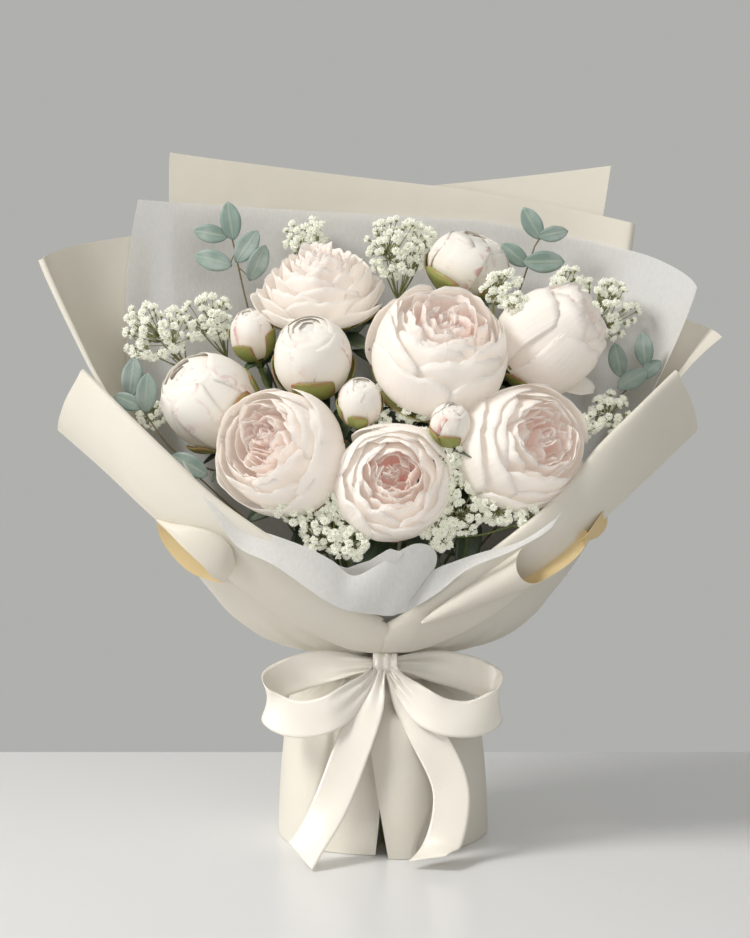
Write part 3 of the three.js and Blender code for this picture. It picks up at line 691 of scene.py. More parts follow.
# Each bloom: its kind, middle, facing, radius and depth, then its ring at the tie, its angle there, the
# bends of its stem and the lean of its heart.
PEONIES = {
    "peony_back_left": ("wide", (-54, 18, 467), (-0.1, -0.35, 1), 50, 62,
        0, 150, [(-30, 22, 330)], (0, 0.1)),
    "peony_centre_right": ("bowl", (47, -50, 412), (0.15, -0.62, 0.78), 55, 76,
        0, 300, [(20, -10, 310)], (0.1, 0.1)),
    "peony_right": ("cup", (142, -16, 424), (0.75, -0.25, 0.6), 40, 88,
        1, 350, [(72, -2, 310)], (0.1, 0)),
    "peony_front_left": ("bowl", (-82, -76, 333), (-0.45, -0.85, 0.3), 49, 78,
        1, 215, [(-36, -30, 250)], (-0.05, 0.14)),
    "peony_front_middle": ("full", (8, -90, 309), (0.02, -0.95, 0.2), 45, 78,
        1, 275, [(4, -34, 240)], (0, 0.1)),
    "peony_front_right": ("bowl", (113, -74, 337), (0.45, -0.85, 0.25), 48, 80,
        1, 322, [(50, -32, 250)], (0.16, 0.02)),
    "peony_ball_left": ("ball", (-144, -28, 371), (-0.6, -0.35, 0.6), 38, 78,
        2, 206, [(-72, -24, 270)], (0, 0)),
    "peony_ball_middle": ("ball", (-58, -40, 409), (-0.1, -0.55, 0.75), 32, 64,
        0, 222, [(-26, -14, 300)], (0, 0)),
    "peony_ball_top": ("ball", (74, 34, 484), (0.35, -0.2, 0.9), 34, 54,
        0, 30, [(36, 26, 340)], (0, 0)),
    "peony_bud_left": ("bud", (-110, -2, 426), (-0.2, -0.3, 0.9), 18.5, 42,
        2, 174, [(-60, 4, 300)], (0, 0)),
    "peony_bud_middle": ("bud", (-18, -72, 374), (0.05, -0.45, 0.85), 18, 38,
        1, 246, [(-12, -34, 270)], (0, 0)),
    "peony_bud_right": ("bud", (55, -97, 358), (0.1, -0.5, 0.85), 16, 34,
        1, 298, [(32, -42, 245), (56, -66, 305)], (0, 0)),
}

# The rings of petals of each kind of bloom, from the outside in. Each ring: how many petals, their half
# width, ruffle, share of the heart's blush, how tightly they bend, and their line from base to end. Widths
# and distances out are shares of the bloom's radius, heights of its depth; the ruffle is in millimetres.
PETAL_RINGS = {
    "bowl": [
        (4, 0.84, 1.5, 0.00, 1.0, [(0.10, 0.03), (0.62, 0.03), (1.00, 0.24), (1.08, 0.52), (1.02, 0.80)]),
        (4, 0.86, 1.5, 0.02, 1.0, [(0.10, 0.05), (0.60, 0.07), (0.96, 0.32), (1.00, 0.64), (0.86, 0.94)]),
        (4, 0.76, 1.8, 0.05, 1.0, [(0.10, 0.07), (0.54, 0.11), (0.90, 0.38), (0.91, 0.72), (0.74, 1.02)]),
        (5, 0.58, 2.4, 0.14, 0.95, [(0.10, 0.10), (0.48, 0.16), (0.80, 0.42), (0.79, 0.76), (0.64, 1.04)]),
        (6, 0.48, 3.2, 0.30, 0.8, [(0.08, 0.12), (0.40, 0.20), (0.66, 0.45), (0.65, 0.76), (0.56, 1.02)]),
        (7, 0.40, 3.8, 0.50, 0.7, [(0.08, 0.14), (0.32, 0.24), (0.53, 0.48), (0.51, 0.74), (0.45, 1.00)]),
        (7, 0.34, 4.2, 0.72, 0.6, [(0.06, 0.16), (0.24, 0.26), (0.40, 0.48), (0.38, 0.72), (0.34, 0.98)]),
        (6, 0.30, 4.2, 0.90, 0.6, [(0.05, 0.18), (0.16, 0.28), (0.27, 0.48), (0.25, 0.70), (0.22, 0.96)]),
        (5, 0.25, 3.6, 1.00, 0.6, [(0.03, 0.20), (0.09, 0.30), (0.16, 0.48), (0.14, 0.68), (0.12, 0.95)]),
        (3, 0.20, 2.8, 1.00, 0.7, [(0.02, 0.20), (0.04, 0.30), (0.07, 0.48), (0.05, 0.68), (0.03, 0.94)]),
    ],
    "full": [
        (5, 0.72, 2.2, 0.00, 1.0, [(0.10, 0.03), (0.60, 0.04), (1.00, 0.24), (1.10, 0.50), (1.00, 0.80)]),
        (5, 0.74, 2.0, 0.03, 1.0, [(0.10, 0.05), (0.58, 0.08), (0.97, 0.32), (1.03, 0.62), (0.86, 0.92)]),
        (5, 0.70, 2.0, 0.08, 1.0, [(0.10, 0.07), (0.54, 0.12), (0.91, 0.38), (0.94, 0.70), (0.72, 0.99)]),
        (5, 0.62, 2.2, 0.16, 0.95, [(0.10, 0.10), (0.48, 0.17), (0.82, 0.43), (0.82, 0.75), (0.59, 1.02)]),
        (4, 0.58, 2.4, 0.40, 0.9, [(0.08, 0.12), (0.40, 0.21), (0.68, 0.45), (0.67, 0.76), (0.47, 1.03)]),
        (5, 0.48, 3.2, 0.55, 0.8, [(0.08, 0.14), (0.33, 0.25), (0.56, 0.48), (0.55, 0.75), (0.43, 1.00)]),
        (6, 0.40, 3.8, 0.72, 0.7, [(0.06, 0.16), (0.25, 0.27), (0.43, 0.48), (0.42, 0.72), (0.34, 0.98)]),
        (6, 0.33, 4.0, 0.88, 0.6, [(0.05, 0.18), (0.17, 0.29), (0.29, 0.48), (0.28, 0.70), (0.23, 0.96)]),
        (5, 0.26, 3.6, 1.00, 0.6, [(0.03, 0.20), (0.09, 0.30), (0.16, 0.48), (0.15, 0.68), (0.12, 0.95)]),
        (3, 0.20, 2.8, 1.00, 0.7, [(0.02, 0.20), (0.04, 0.30), (0.07, 0.48), (0.05, 0.68), (0.03, 0.94)]),
    ],
    "wide": [
        (5, 0.74, 2.0, 0.00, 1.0, [(0.10, 0.00), (0.55, 0.02), (0.95, 0.16), (1.14, 0.40)]),
        (5, 0.72, 2.0, 0.02, 1.0, [(0.10, 0.03), (0.52, 0.06), (0.90, 0.26), (1.02, 0.56)]),
        (6, 0.62, 2.3, 0.05, 1.0, [(0.10, 0.06), (0.50, 0.12), (0.82, 0.38), (0.88, 0.70)]),
        (6, 0.54, 2.8, 0.10, 0.95, [(0.10, 0.10), (0.46, 0.18), (0.70, 0.48), (0.72, 0.82)]),
        (7, 0.46, 3.4, 0.16, 0.85, [(0.08, 0.12), (0.38, 0.24), (0.57, 0.54), (0.57, 0.90)]),
        (7, 0.40, 3.8, 0.24, 0.8, [(0.08, 0.14), (0.30, 0.28), (0.44, 0.58), (0.42, 0.96)]),
        (6, 0.34, 4.0, 0.32, 0.8, [(0.06, 0.16), (0.20, 0.30), (0.30, 0.60), (0.27, 1.00)]),
        (5, 0.28, 3.6, 0.38, 0.8, [(0.04, 0.18), (0.11, 0.32), (0.16, 0.60), (0.13, 1.00)]),
        (3, 0.22, 2.8, 0.40, 0.8, [(0.02, 0.20), (0.04, 0.34), (0.06, 0.60), (0.03, 0.98)]),
    ],
    "cup": [
        (4, 0.74, 2.2, 0.00, 1.0, [(0.12, 0.00), (0.66, 0.05), (1.04, 0.28), (1.04, 0.58), (0.90, 0.84)]),
        (4, 0.76, 2.0, 0.03, 1.0, [(0.12, 0.03), (0.62, 0.09), (0.95, 0.34), (0.92, 0.66), (0.74, 0.95)]),
        (5, 0.64, 2.0, 0.12, 1.0, [(0.10, 0.05), (0.56, 0.12), (0.85, 0.38), (0.80, 0.68), (0.60, 1.00)]),
        (5, 0.52, 1.6, 0.35, 0.9, [(0.10, 0.08), (0.44, 0.16), (0.68, 0.42), (0.62, 0.70), (0.44, 0.97)]),
        (6, 0.38, 2.0, 0.60, 0.8, [(0.08, 0.10), (0.32, 0.20), (0.48, 0.44), (0.44, 0.70), (0.30, 0.93)]),
        (5, 0.26, 2.2, 0.80, 0.8, [(0.04, 0.12), (0.16, 0.24), (0.26, 0.46), (0.22, 0.70), (0.12, 0.90)]),
    ],
    "ball": [
        (4, 0.90, 0.5, 0.10, 1.0, [(0.12, 0.00), (0.70, 0.07), (1.01, 0.40), (0.93, 0.70), (0.70, 0.90)]),
        (4, 0.84, 0.5, 0.25, 1.0, [(0.12, 0.02), (0.68, 0.09), (0.98, 0.42), (0.88, 0.76), (0.52, 0.97)]),
        (4, 0.72, 0.6, 0.50, 1.0, [(0.12, 0.04), (0.65, 0.11), (0.95, 0.44), (0.82, 0.80), (0.36, 1.00)]),
        (5, 0.50, 1.0, 0.90, 0.9, [(0.12, 0.06), (0.60, 0.13), (0.90, 0.46), (0.72, 0.84), (0.18, 1.00)]),
    ],
    "bud": [
        (3, 0.95, 0.3, 0.30, 1.0, [(0.14, 0.00), (0.72, 0.07), (1.00, 0.38), (0.90, 0.70), (0.60, 0.92)]),
        (3, 0.90, 0.3, 0.55, 1.0, [(0.14, 0.02), (0.70, 0.09), (0.97, 0.40), (0.84, 0.76), (0.38, 0.99)]),
        (3, 0.70, 0.4, 0.90, 1.0, [(0.14, 0.04), (0.66, 0.11), (0.93, 0.42), (0.76, 0.80), (0.18, 1.00)]),
    ],
}
# The closed heart of a bud or ball: distances out and heights, as above.
CORE_PROFILE = [(0.0, 0.02), (0.60, 0.10), (0.88, 0.40), (0.72, 0.76), (0.36, 0.93), (0.0, 0.965)]
CORE_RINGS, CORE_SIDES = 22, 28
OPEN_KINDS = ("bowl", "full", "wide", "cup")
PETAL_FOOT = 0.26  # width of a petal at its base, as a share of its widest
PETAL_WIDEST = 0.66  # how far along a petal is widest
MOST_WRAP = 1.75  # radians that half a petal may wrap round its bloom
FULL_RUFFLE = 48  # radius of the bloom whose ruffles are as the table says
STEM_RADIUS = 2.6
BUD_STEM_RADIUS = 2.2
FOLIAGE = {"bud": (5, 34), "ball": (6, 58), "open": (10, 80)}  # how many leaves, and their length
LOOSE_ANGLE, LOOSE_HALF_WIDTH = -62, 25
SEPAL_REACH = {"bud": 0.52, "ball": 0.36}
OPEN_SEPAL_REACH = 0.2


def petal_grid(line, half_width, angle, chance, ruffle, bend, notch, heart, rows=14, columns=17):
    """One petal in its bloom's own directions, and its tint.

    It follows a line of (distance out, height) from base to end, and wraps round the bloom's middle.
    """
    t = np.linspace(0, 1, rows)[:, None]
    s = np.linspace(-1, 1, columns)[None, :]
    fine = smooth_path(line, 60)
    share = np.linspace(0, 1, 60)
    dip = chance.uniform(-0.35, 0.35)
    reach = 1 - 0.15 * np.abs(s) ** 3
    reach = reach - notch * (
        (0.03 + 0.05 * heart) * np.exp(-(((s - dip) / 0.14) ** 2))
        + (0.014 + 0.02 * heart) * np.sin(s * chance.uniform(3, 6) + chance.uniform(0, 6))
        + 0.010 * np.sin(s * chance.uniform(11, 19) + chance.uniform(0, 6))
    )
    place = t * reach
    out = np.interp(place, share, fine[:, 0])
    height = np.interp(place, share, fine[:, 1])
    opened = np.sin(np.pi / 2 * np.clip(place / PETAL_WIDEST, 0, 1))
    width = half_width * (PETAL_FOOT + (1 - PETAL_FOOT) * opened)
    width = width * (1 - 0.08 * ease(place, 0.72, 1.0))
    curve = np.maximum(out * bend, 0.42 * half_width)
    turn = np.clip(s * width / curve, -MOST_WRAP, MOST_WRAP)
    waves = sum(
        size * np.sin(s * pace * np.pi + chance.uniform(0, 2 * np.pi))
        for size, pace in ((0.52, chance.uniform(0.8, 1.4)), (0.30, chance.uniform(1.6, 2.5)),
                           (0.16 + 0.08 * heart, chance.uniform(3.0, 4.4)))
    )
    swell = np.sin(s * chance.uniform(1.2, 2.6) + chance.uniform(0, 2 * np.pi))
    lip = chance.uniform(-0.8, 0.9) * ease(place, 0.8, 1.0) * ruffle * 0.9
    lapped = chance.choice((-1, 1)) * s * 0.035 * half_width
    push = ruffle * place**2.2 * waves + lip + lapped - 0.25 * ruffle * np.abs(s) ** 2 * place
    radial = out - curve * (1 - np.cos(turn)) + push
    side = curve * np.sin(turn)
    lift = height + ruffle * 0.9 * place**2 * swell
    x = radial * math.cos(angle) - side * math.sin(angle)
    y = radial * math.sin(angle) + side * math.cos(angle)
    tint = tint_grid((rows, columns), place, (s + 1) / 2, heart, chance.random())
    return np.stack([x, y, np.broadcast_to(lift, x.shape)], -1), tint


def facing_frame(facing):
    """A bloom's own directions, as rows: across, over, and out along its facing."""
    out = unit(facing)
    across = unit(np.cross((0, 0, 1), out))
    return np.stack([across, np.cross(out, across), out])


def add_petals(shape, kind, axes, middle, radius, depth, heart_lean, chance, thickness):
    """The rings of petals of one bloom."""
    open_bloom = kind in OPEN_KINDS
    turn = chance.uniform(0, 2 * math.pi)
    for count, width, ruffle, heart, bend, line in PETAL_RINGS[kind]:
        turn += math.pi / count + chance.uniform(-0.15, 0.15)
        for k in range(count):
            grow = chance.uniform(0.95, 1.05)
            sink = chance.uniform(-0.05 - 0.07 * heart, 0.03) if open_bloom else chance.uniform(-0.01, 0.01)
            spread = chance.uniform(-0.07, 0.07) * (0.4 + heart) if open_bloom else 0
            path = [
                ((r * grow + spread * share) * radius, (h + sink * share - 0.5) * depth)
                for share, (r, h) in zip([i / (len(line) - 1) for i in range(len(line))], line)
            ]
            angle = turn + 2 * math.pi * k / count + chance.uniform(-0.22, 0.22)
            grid, tint = petal_grid(
                path, width * radius * chance.uniform(0.9, 1.1), angle, chance,
                ruffle * (radius / FULL_RUFFLE) ** 0.5, bend * chance.uniform(0.85, 1.1),
                1.0 if open_bloom else 0.35, heart,
            )
            shift = heart * radius * np.array([*heart_lean, 0.0])
            if heart > 0.4 and open_bloom:
                stray = np.array([chance.uniform(-1, 1), chance.uniform(-1, 1), 0])
                shift = shift + radius * 0.08 * stray
            grid = middle + (grid + shift * ease(tint[..., 0:1], 0.2, 0.8)) @ axes
            edge = np.abs(2 * tint[..., 1] - 1)
            even = thickness * (1 - 0.45 * np.maximum(edge**3, tint[..., 0] ** 3))
            shape.sheet(grid, even, tint, finish=0 if open_bloom else 1)


def add_core(shape, axes, middle, radius, depth, chance):
    """The closed heart of a bud, under its wrapped petals."""
    rings = []
    angles = np.linspace(0, 2 * np.pi, CORE_SIDES, endpoint=False)
    for r, h in smooth_path(CORE_PROFILE, CORE_RINGS):
        out = max(r, 0.004) * radius * (1 + 0.02 * np.sin(5 * angles + h * 4))
        height = np.full(CORE_SIDES, (h - 0.5) * depth)
        rings.append(np.stack([out * np.cos(angles), out * np.sin(angles), height], -1))
    faces = grid_faces(CORE_RINGS, CORE_SIDES, ring=True)
    shape.add(middle + np.array(rings) @ axes, [faces], (0.8, 0.5, 0.7, chance.random()), finish=1)


def add_sepals(shape, axes, middle, radius, depth, kind, chance, thickness):
    """Sepals that hold the base of a bloom."""
    count = 5 if kind in OPEN_KINDS else 4
    reach = SEPAL_REACH.get(kind, OPEN_SEPAL_REACH)
    for k in range(count):
        top = reach * chance.uniform(0.6, 1.15)
        if kind in OPEN_KINDS:
            line = [(0.08, -0.05), (0.45, -0.05), (0.75, 0.02), (1.0, 0.14)]
        else:
            cup = [(0.90, 0.12 + 0.2 * top), (1.035, max(top, 0.2)), (1.05, top + 0.1)]
            line = [(0.08, -0.03), (0.50, -0.01), *cup]
        path = [(r * radius + 0.6, (h - 0.5) * depth - 0.5) for r, h in line]
        angle = 2 * math.pi * (k + chance.uniform(-0.2, 0.2)) / count
        grid, tint = petal_grid(
            path, radius * chance.uniform(0.48, 0.66), angle, chance, 0.4, 1.0, 0.2, 0.0, rows=10, columns=8
        )
        shape.sheet(middle + grid @ axes, 1.6 * thickness, tint, finish=2)


def add_foliage(shape, path, axes, kind, chance, thickness):
    """The peony's own leaves, on the stem below its bloom."""
    count, size = FOLIAGE["open" if kind in OPEN_KINDS else kind]
    out = axes[2]
    for k in range(count):
        at = path[-8 - 2 * (k % 4)]
        angle = 2 * math.pi * (k + chance.uniform(-0.3, 0.3)) / count
        sideways = math.cos(angle) * axes[0] + math.sin(angle) * axes[1]
        direction = unit(chance.uniform(0.05, 0.15 if kind == "wide" else 0.42) * out + 0.95 * sideways)
        leaf_size = size * chance.uniform(0.8, 1.1)
        grid, tint = leaf_grid(
            at, direction, unit(out - 0.3 * sideways), leaf_size, leaf_size * chance.uniform(0.27, 0.36),
            arch=chance.uniform(0.02, 0.14), fold=0.35, chance=chance,
        )
        shape.sheet(grid, 1.4 * thickness, tint, finish=4)


def make_peony(name, sizes):
    """One peony: its stem, leaves, sepals and petals."""
    kind, middle, facing, radius, depth, ring, tie, via, heart_lean = PEONIES[name]
    chance = random.Random(name)
    thickness = sizes.petal_thickness / MM
    axes = facing_frame(facing)
    middle = np.array(middle, float)
    into = middle - axes[2] * 0.35 * depth
    behind = middle - axes[2] * 0.72 * depth
    path = stem_path(ring, tie, [*via, behind, into])
    shape = Shape()
    add_petals(shape, kind, axes, middle, radius, depth, heart_lean, chance, thickness)
    if kind in ("ball", "bud"):
        add_core(shape, axes, middle, radius, depth, chance)
    if kind == "cup":  # a loose petal hangs under this one
        line = [(8, -0.42 * depth), (22, -0.36 * depth), (42, -0.20 * depth), (60, -0.02 * depth)]
        angle = math.radians(LOOSE_ANGLE)
        grid, tint = petal_grid(line, LOOSE_HALF_WIDTH, angle, chance, 1.0, 1.0, 0.5, 0.0)
        shape.sheet(middle + grid @ axes, thickness, tint)
    add_sepals(shape, axes, middle, radius, depth, kind, chance, thickness)
    shape.tube(path, BUD_STEM_RADIUS if kind == "bud" else STEM_RADIUS, 8, finish=3)
    swell = smooth_path([behind, (behind + into) / 2, into], 8)
    shape.tube(swell, np.linspace(STEM_RADIUS, radius * 0.3, 8), 10, finish=3)
    add_foliage(shape, path, axes, kind, chance, thickness)
    shape.build(name + "_flower", finishes("petal", "bud", "sepal", "stem", "foliage"), name)


# ---------------------------------------------------------------------------------------------
# Gypsophila

# Each spray: ring at the tie, tie angle, bends of its stem, and its clouds of florets as x, y, z, radius.
SPRAYS = {
    "gypsophila_top": (1, 70, [(14, 46, 330)], [(14, 42, 500, 26), (36, 54, 508, 11)]),
    "gypsophila_back_left": (1, 128, [(-46, 56, 330)], [(-66, 83, 508, 17)]),
    "gypsophila_left": (2, 156, [(-104, 24, 300), (-156, 20, 385)], [
        (-190, -12, 428, 26), (-196, 0, 358, 11),
    ]),
    "gypsophila_left_inner": (2, 138, [(-80, 42, 300)], [(-150, 30, 438, 21)]),
    "gypsophila_centre": (0, 80, [(10, 2, 280)], [
        (8, -34, 374, 15), (26, -62, 368, 12), (-2, -72, 352, 10), (34, -84, 346, 8),
    ]),
    "gypsophila_top_right": (2, 30, [(66, 14, 330)], [(100, -14, 466, 15), (112, -34, 452, 8)]),
    "gypsophila_right": (2, 8, [(92, 18, 300)], [(190, 31, 446, 26), (160, 34, 468, 13)]),
    "gypsophila_right_low": (2, 342, [(84, -12, 280)], [(190, -20, 362, 15), (170, -34, 352, 10)]),
    "gypsophila_front_left": (2, 248, [(-20, -48, 225)], [
        (-47, -94, 272, 18), (-72, -92, 288, 13), (-26, -98, 262, 15), (-34, -90, 294, 13),
        (-90, -88, 296, 8),
    ]),
    "gypsophila_front_right": (2, 304, [(30, -44, 225)], [
        (66, -94, 284, 17), (52, -98, 308, 13), (92, -94, 290, 14), (46, -96, 270, 12), (56, -92, 332, 11),
        (118, -96, 282, 9),
    ]),
}


FLORET_RINGS = ((6, 0.35, 1.0), (5, 0.85, 0.8), (4, 1.25, 0.58))  # petals, lean and reach of each ring
FLORET_THICKNESS = 0.22
FLORET_GAP = 5.2  # least distance between the middles of two florets
CLOUD_RADIUS = 26  # of the widest cloud, which has the most florets
CLOUD_LEAST, CLOUD_MORE = 8, 74
FORK_BELOW = 1.75  # how far under a cloud its stem forks, as a share of its radius
THIN_STEM = 0.8


def floret_shape(width, chance):
    """One floret facing up +Z: three rings of notched petals in a green cup, as points, faces and tints."""
    points, faces, tints, count = [], [], [], 0
    for petals, lean, reach in FLORET_RINGS:
        for k in range(petals):
            angle = 2 * math.pi * (k + chance.uniform(-0.15, 0.15)) / petals + lean
            tip = width / 2 * reach * chance.uniform(0.88, 1.08)
            rise = width * (0.16 + 0.30 * lean) * chance.uniform(0.9, 1.1)
            t = np.array([0.1, 0.6, 1.0])[:, None]
            s = np.array([-1.0, 0.0, 1.0])[None, :]
            out = tip * t * (1 - 0.16 * (t == 1) * (s == 0))
            side = s * tip * np.array([[0.12], [0.42], [0.36]])
            up = rise * t**1.3 - 0.10 * width * np.abs(s) * t + 0.04 * width * np.sin(7 * s + angle)
            x = out * math.cos(angle) - side * math.sin(angle)
            y = out * math.sin(angle) + side * math.cos(angle)
            grid = np.stack(np.broadcast_arrays(x, y, up), -1)
            petal, front, back, edge = thick_sheet(grid, FLORET_THICKNESS)
            points.append(petal)
            faces += [front + count, back + count, edge + count]
            tint = tint_grid((3, 3), t, chance=chance.random())
            tints.append(np.concatenate([tint.reshape(-1, 4)] * 2))
            count += len(petal)
    cup_line = [(0, 0, share * width) for share in (-0.26, -0.1, 0.12)]
    cup = tube_grid(cup_line, np.array([0.05, 0.15, 0.2]) * width, 6)
    return np.concatenate(points), faces, np.concatenate(tints), cup


def add_floret(shape, template, at, direction, scale, spin):
    """One floret of a spray, turned to face a direction."""
    points, faces, tints, cup = template
    axes = facing_frame(direction)
    turn = np.array([[math.cos(spin), math.sin(spin), 0], [-math.sin(spin), math.cos(spin), 0], [0, 0, 1]])
    shape.add(at + scale * points @ turn @ axes, faces, tints, finish=0)
    shape.add(at + scale * cup @ axes, [grid_faces(*cup.shape[:2], ring=True)], finish=1)


def cloud_places(x, y, z, radius, chance):
    """Places for florets in a cloud, mostly towards its outside, with a gap between every two."""
    wanted = int(CLOUD_LEAST + CLOUD_MORE * (radius / CLOUD_RADIUS) ** 2)
    places = []
    for _ in range(40 * wanted):
        if len(places) == wanted:
            break
        direction = unit([chance.gauss(0, 1), chance.gauss(0, 1), chance.gauss(0, 1)])
        at = np.array([x, y, z]) + direction * radius * chance.uniform(0.35, 1.0) ** 0.55 * (1.12, 0.9, 1.0)
        if all(np.linalg.norm(at - other) > FLORET_GAP for other in places):
            places.append(at)
    return places


def make_spray(name, sizes):
    """One spray of gypsophila: a stem that forks into clouds of florets."""
    ring, tie, via, clouds = SPRAYS[name]
    chance = random.Random(name)
    width = sizes.floret_width / MM
    templates = [floret_shape(width, chance) for _ in range(3)]
    shape = Shape()
    root = None
    for x, y, z, radius in clouds:
        middle = np.array([x, y, z], float)
        low = np.array(via[-1], float)
        fork = middle + unit(low - middle) * radius * FORK_BELOW
        if root is None:
            shape.tube(stem_path(ring, tie, [*via, fork], 36), np.linspace(1.4, 1.0, 36), 6, finish=2)
            root = fork
        else:
            shape.tube(smooth_path([root, (root + fork) / 2 + (0, 0, -3), fork], 8), THIN_STEM, 5, finish=2)
        places = cloud_places(x, y, z, radius, chance)
        arms = max(3, len(places) // 8)
        joints = []
        for k in range(arms):
            target = places[k * len(places) // arms]
            joint = fork + (target - fork) * chance.uniform(0.45, 0.6)
            arm = smooth_path([fork, (fork + joint) / 2 + (0, 0, -1.5), joint], 6)
            shape.tube(arm, [THIN_STEM] * 3 + [0.6] * 3, 5, finish=1)
            joints.append(joint)
        for at in places:
            joint = min(joints, key=lambda j: np.linalg.norm(j - at))
            direction = unit(unit(at - middle) + 0.7 * unit(at - joint) + (0, -0.35, 0.25))
            start = at - direction * 0.2 * width
            sag = (joint + start) / 2 + np.array([0, 0, -1.0])
            shape.tube(smooth_path([joint, sag, start], 5), [0.5, 0.45, 0.4, 0.35, 0.35], 4, finish=1)
            template = chance.choice(templates)
            add_floret(shape, template, at, direction, chance.uniform(0.72, 1.1), chance.uniform(0, 6))
    shape.build(name + "_spray", finishes("floret", "calyx", "stem"), name)


# ---------------------------------------------------------------------------------------------
# Eucalyptus

# Each sprig: ring at the tie, tie angle, bends of its stem, its tip, and its leaves as x, y, z, length, tilt.
SPRIGS = {
    "eucalyptus_top_left": (2, 116, [(-70, 66, 320), (-112, 62, 430)], (-130, 56, 508), [
        (-131, 54, 522, 34, -8), (-148, 54, 511, 30, -80), (-117, 54, 500, 34, 35), (-146, 54, 488, 34, -75),
        (-108, 54, 486, 34, 25)]),
    "eucalyptus_left": (2, 190, [(-96, -8, 290), (-170, -20, 325)], (-206, -24, 372), [
        (-209, -22, 391, 34, 8), (-197, -26, 378, 34, 5), (-212, -27, 371, 26, -65)]),
    "eucalyptus_top_right": (2, 54, [(70, 56, 320), (112, 56, 440)], (132, 52, 500), [
        (130, 52, 520, 32, -30), (148, 50, 511, 26, 80), (115, 52, 493, 30, -50), (140, 48, 487, 36, 90)]),
    "eucalyptus_right": (2, 325, [(100, -22, 270), (170, 4, 340)], (212, 2, 384), [
        (200, 4, 404, 30, -12), (222, 4, 413, 30, -5), (212, 2, 388, 30, 60), (227, 3, 396, 24, 50)]),
    "eucalyptus_front_left": (2, 224, [(-78, -42, 240), (-130, -52, 290)], (-152, -60, 312), [
        (-158, -62, 321, 34, -60)]),
}
LEAF_BREADTH = 0.54  # width of a leaf as a share of its length
SPRIG_POINTS = 60
LOWEST_NODE = 34  # the point of a sprig's stem above which leaves may join it
TWIG_RADIUS = 0.55


def make_sprig(name, sizes):
    """One sprig of eucalyptus: a thin stem and oval leaves."""
    ring, tie, via, tip, leaves = SPRIGS[name]
    chance = random.Random(name)
    thickness = sizes.leaf_thickness / MM
    path = stem_path(ring, tie, [*via, tip], SPRIG_POINTS)
    upper = path[LOWEST_NODE:]
    shape = Shape()
    shape.tube(path, np.linspace(1.5, 0.7, SPRIG_POINTS), 7, finish=1)
    for x, y, z, size, tilt in leaves:
        middle = np.array([x, y, z], float)
        lean = math.radians(tilt)
        direction = np.array([math.sin(lean), 0.0, math.cos(lean)])
        away = np.linalg.norm(upper - middle, axis=1) + 0.3 * np.arange(len(upper))[::-1]
        node = upper[np.argmin(away)]
        if np.dot(middle - node, direction) < 0:
            direction = -direction
        base = middle - direction * size / 2
        face = unit([0.35 * math.copysign(1, -x) * chance.uniform(0.2, 1), -1, chance.uniform(-0.2, 0.25)])
        grid, tint = leaf_grid(
            base, direction, face, size, size * LEAF_BREADTH, arch=0.05, fold=0.14, chance=chance, blunt=0.85
        )
        shape.sheet(grid, thickness, tint)
        twig = smooth_path([node, (node + base) / 2 + direction * 1.5, base + direction * 2], 6)
        shape.tube(twig, TWIG_RADIUS, 5, finish=1)
    shape.build(name + "_sprig", finishes("eucalyptus", "twig"), name)


# ---------------------------------------------------------------------------------------------
# The paper and tissue round the head: sheets of one funnel, each a step outside the last

LAYER_STEP = 4
NECK_Z = 148
SHEET_ROWS = 80
SHARP_FOLD = 50  # degrees; a sheet's edges and folds sharper than this aren't smoothed over
SIDE_LINE = smooth_table([
    (148, 36), (157, 37.5), (163, 45), (168, 60), (173, 84), (181, 104), (196, 124), (212, 137),
    (230, 151), (255, 167), (282, 182), (305, 194), (330, 206), (400, 240), (500, 276), (580, 300)])
BACK_LINE = smooth_table([
    (148, 36), (157, 37), (163, 39), (168, 43), (173, 48), (181, 53), (196, 60), (212, 66),
    (230, 71), (260, 79), (300, 87), (350, 94), (400, 99), (450, 103), (600, 114)])
FRONT_LINE = smooth_table([
    (148, 36), (157, 37), (163, 39), (168, 43), (173, 49), (181, 59), (196, 74), (212, 87),
    (230, 98), (250, 110), (280, 121), (305, 128), (330, 133), (420, 138)])


def funnel_base(degrees, z):
    """A point of the innermost funnel, by its angle round the tie's line and its height."""
    angle = np.radians(degrees)
    depth = np.where(np.sin(angle) > 0, BACK_LINE(z), FRONT_LINE(z))
    return np.stack([SIDE_LINE(z) * np.cos(angle), depth * np.sin(angle), z], -1)


def funnel(degrees, z, out):
    """A point of the funnel moved out square to it."""
    degrees, z, out = np.broadcast_arrays(*(np.asarray(v, float) for v in (degrees, z, out)))
    across = funnel_base(degrees + 1, z) - funnel_base(degrees - 1, z)
    up = funnel_base(degrees, z + 3) - funnel_base(degrees, z - 3)
    return funnel_base(degrees, z) + unit(np.cross(across, up)) * out[..., None]


PLEAT_DEPTH, PLEAT_ENDS = 1.3, (156, 215)  # how deep, and the heights between which they die away
SWELL_DEPTH, SWELL_STARTS = 0.9, (230, 420)
BUCKLE_STARTS = (190, 320)


def gathers(degrees, z):
    """The pleats that all the sheets share where they leave the tie."""
    angle = np.radians(degrees)
    pleats = np.sin(17 * angle + 2 * np.sin(3 * angle)) + 0.5 * np.sin(31 * angle + 1.0)
    broad = np.sin(5 * angle + 0.7) + 0.6 * np.sin(8 * angle + z / 70)
    return PLEAT_DEPTH * pleats * (1 - ease(z, *PLEAT_ENDS)) + SWELL_DEPTH * broad * ease(z, *SWELL_STARTS)


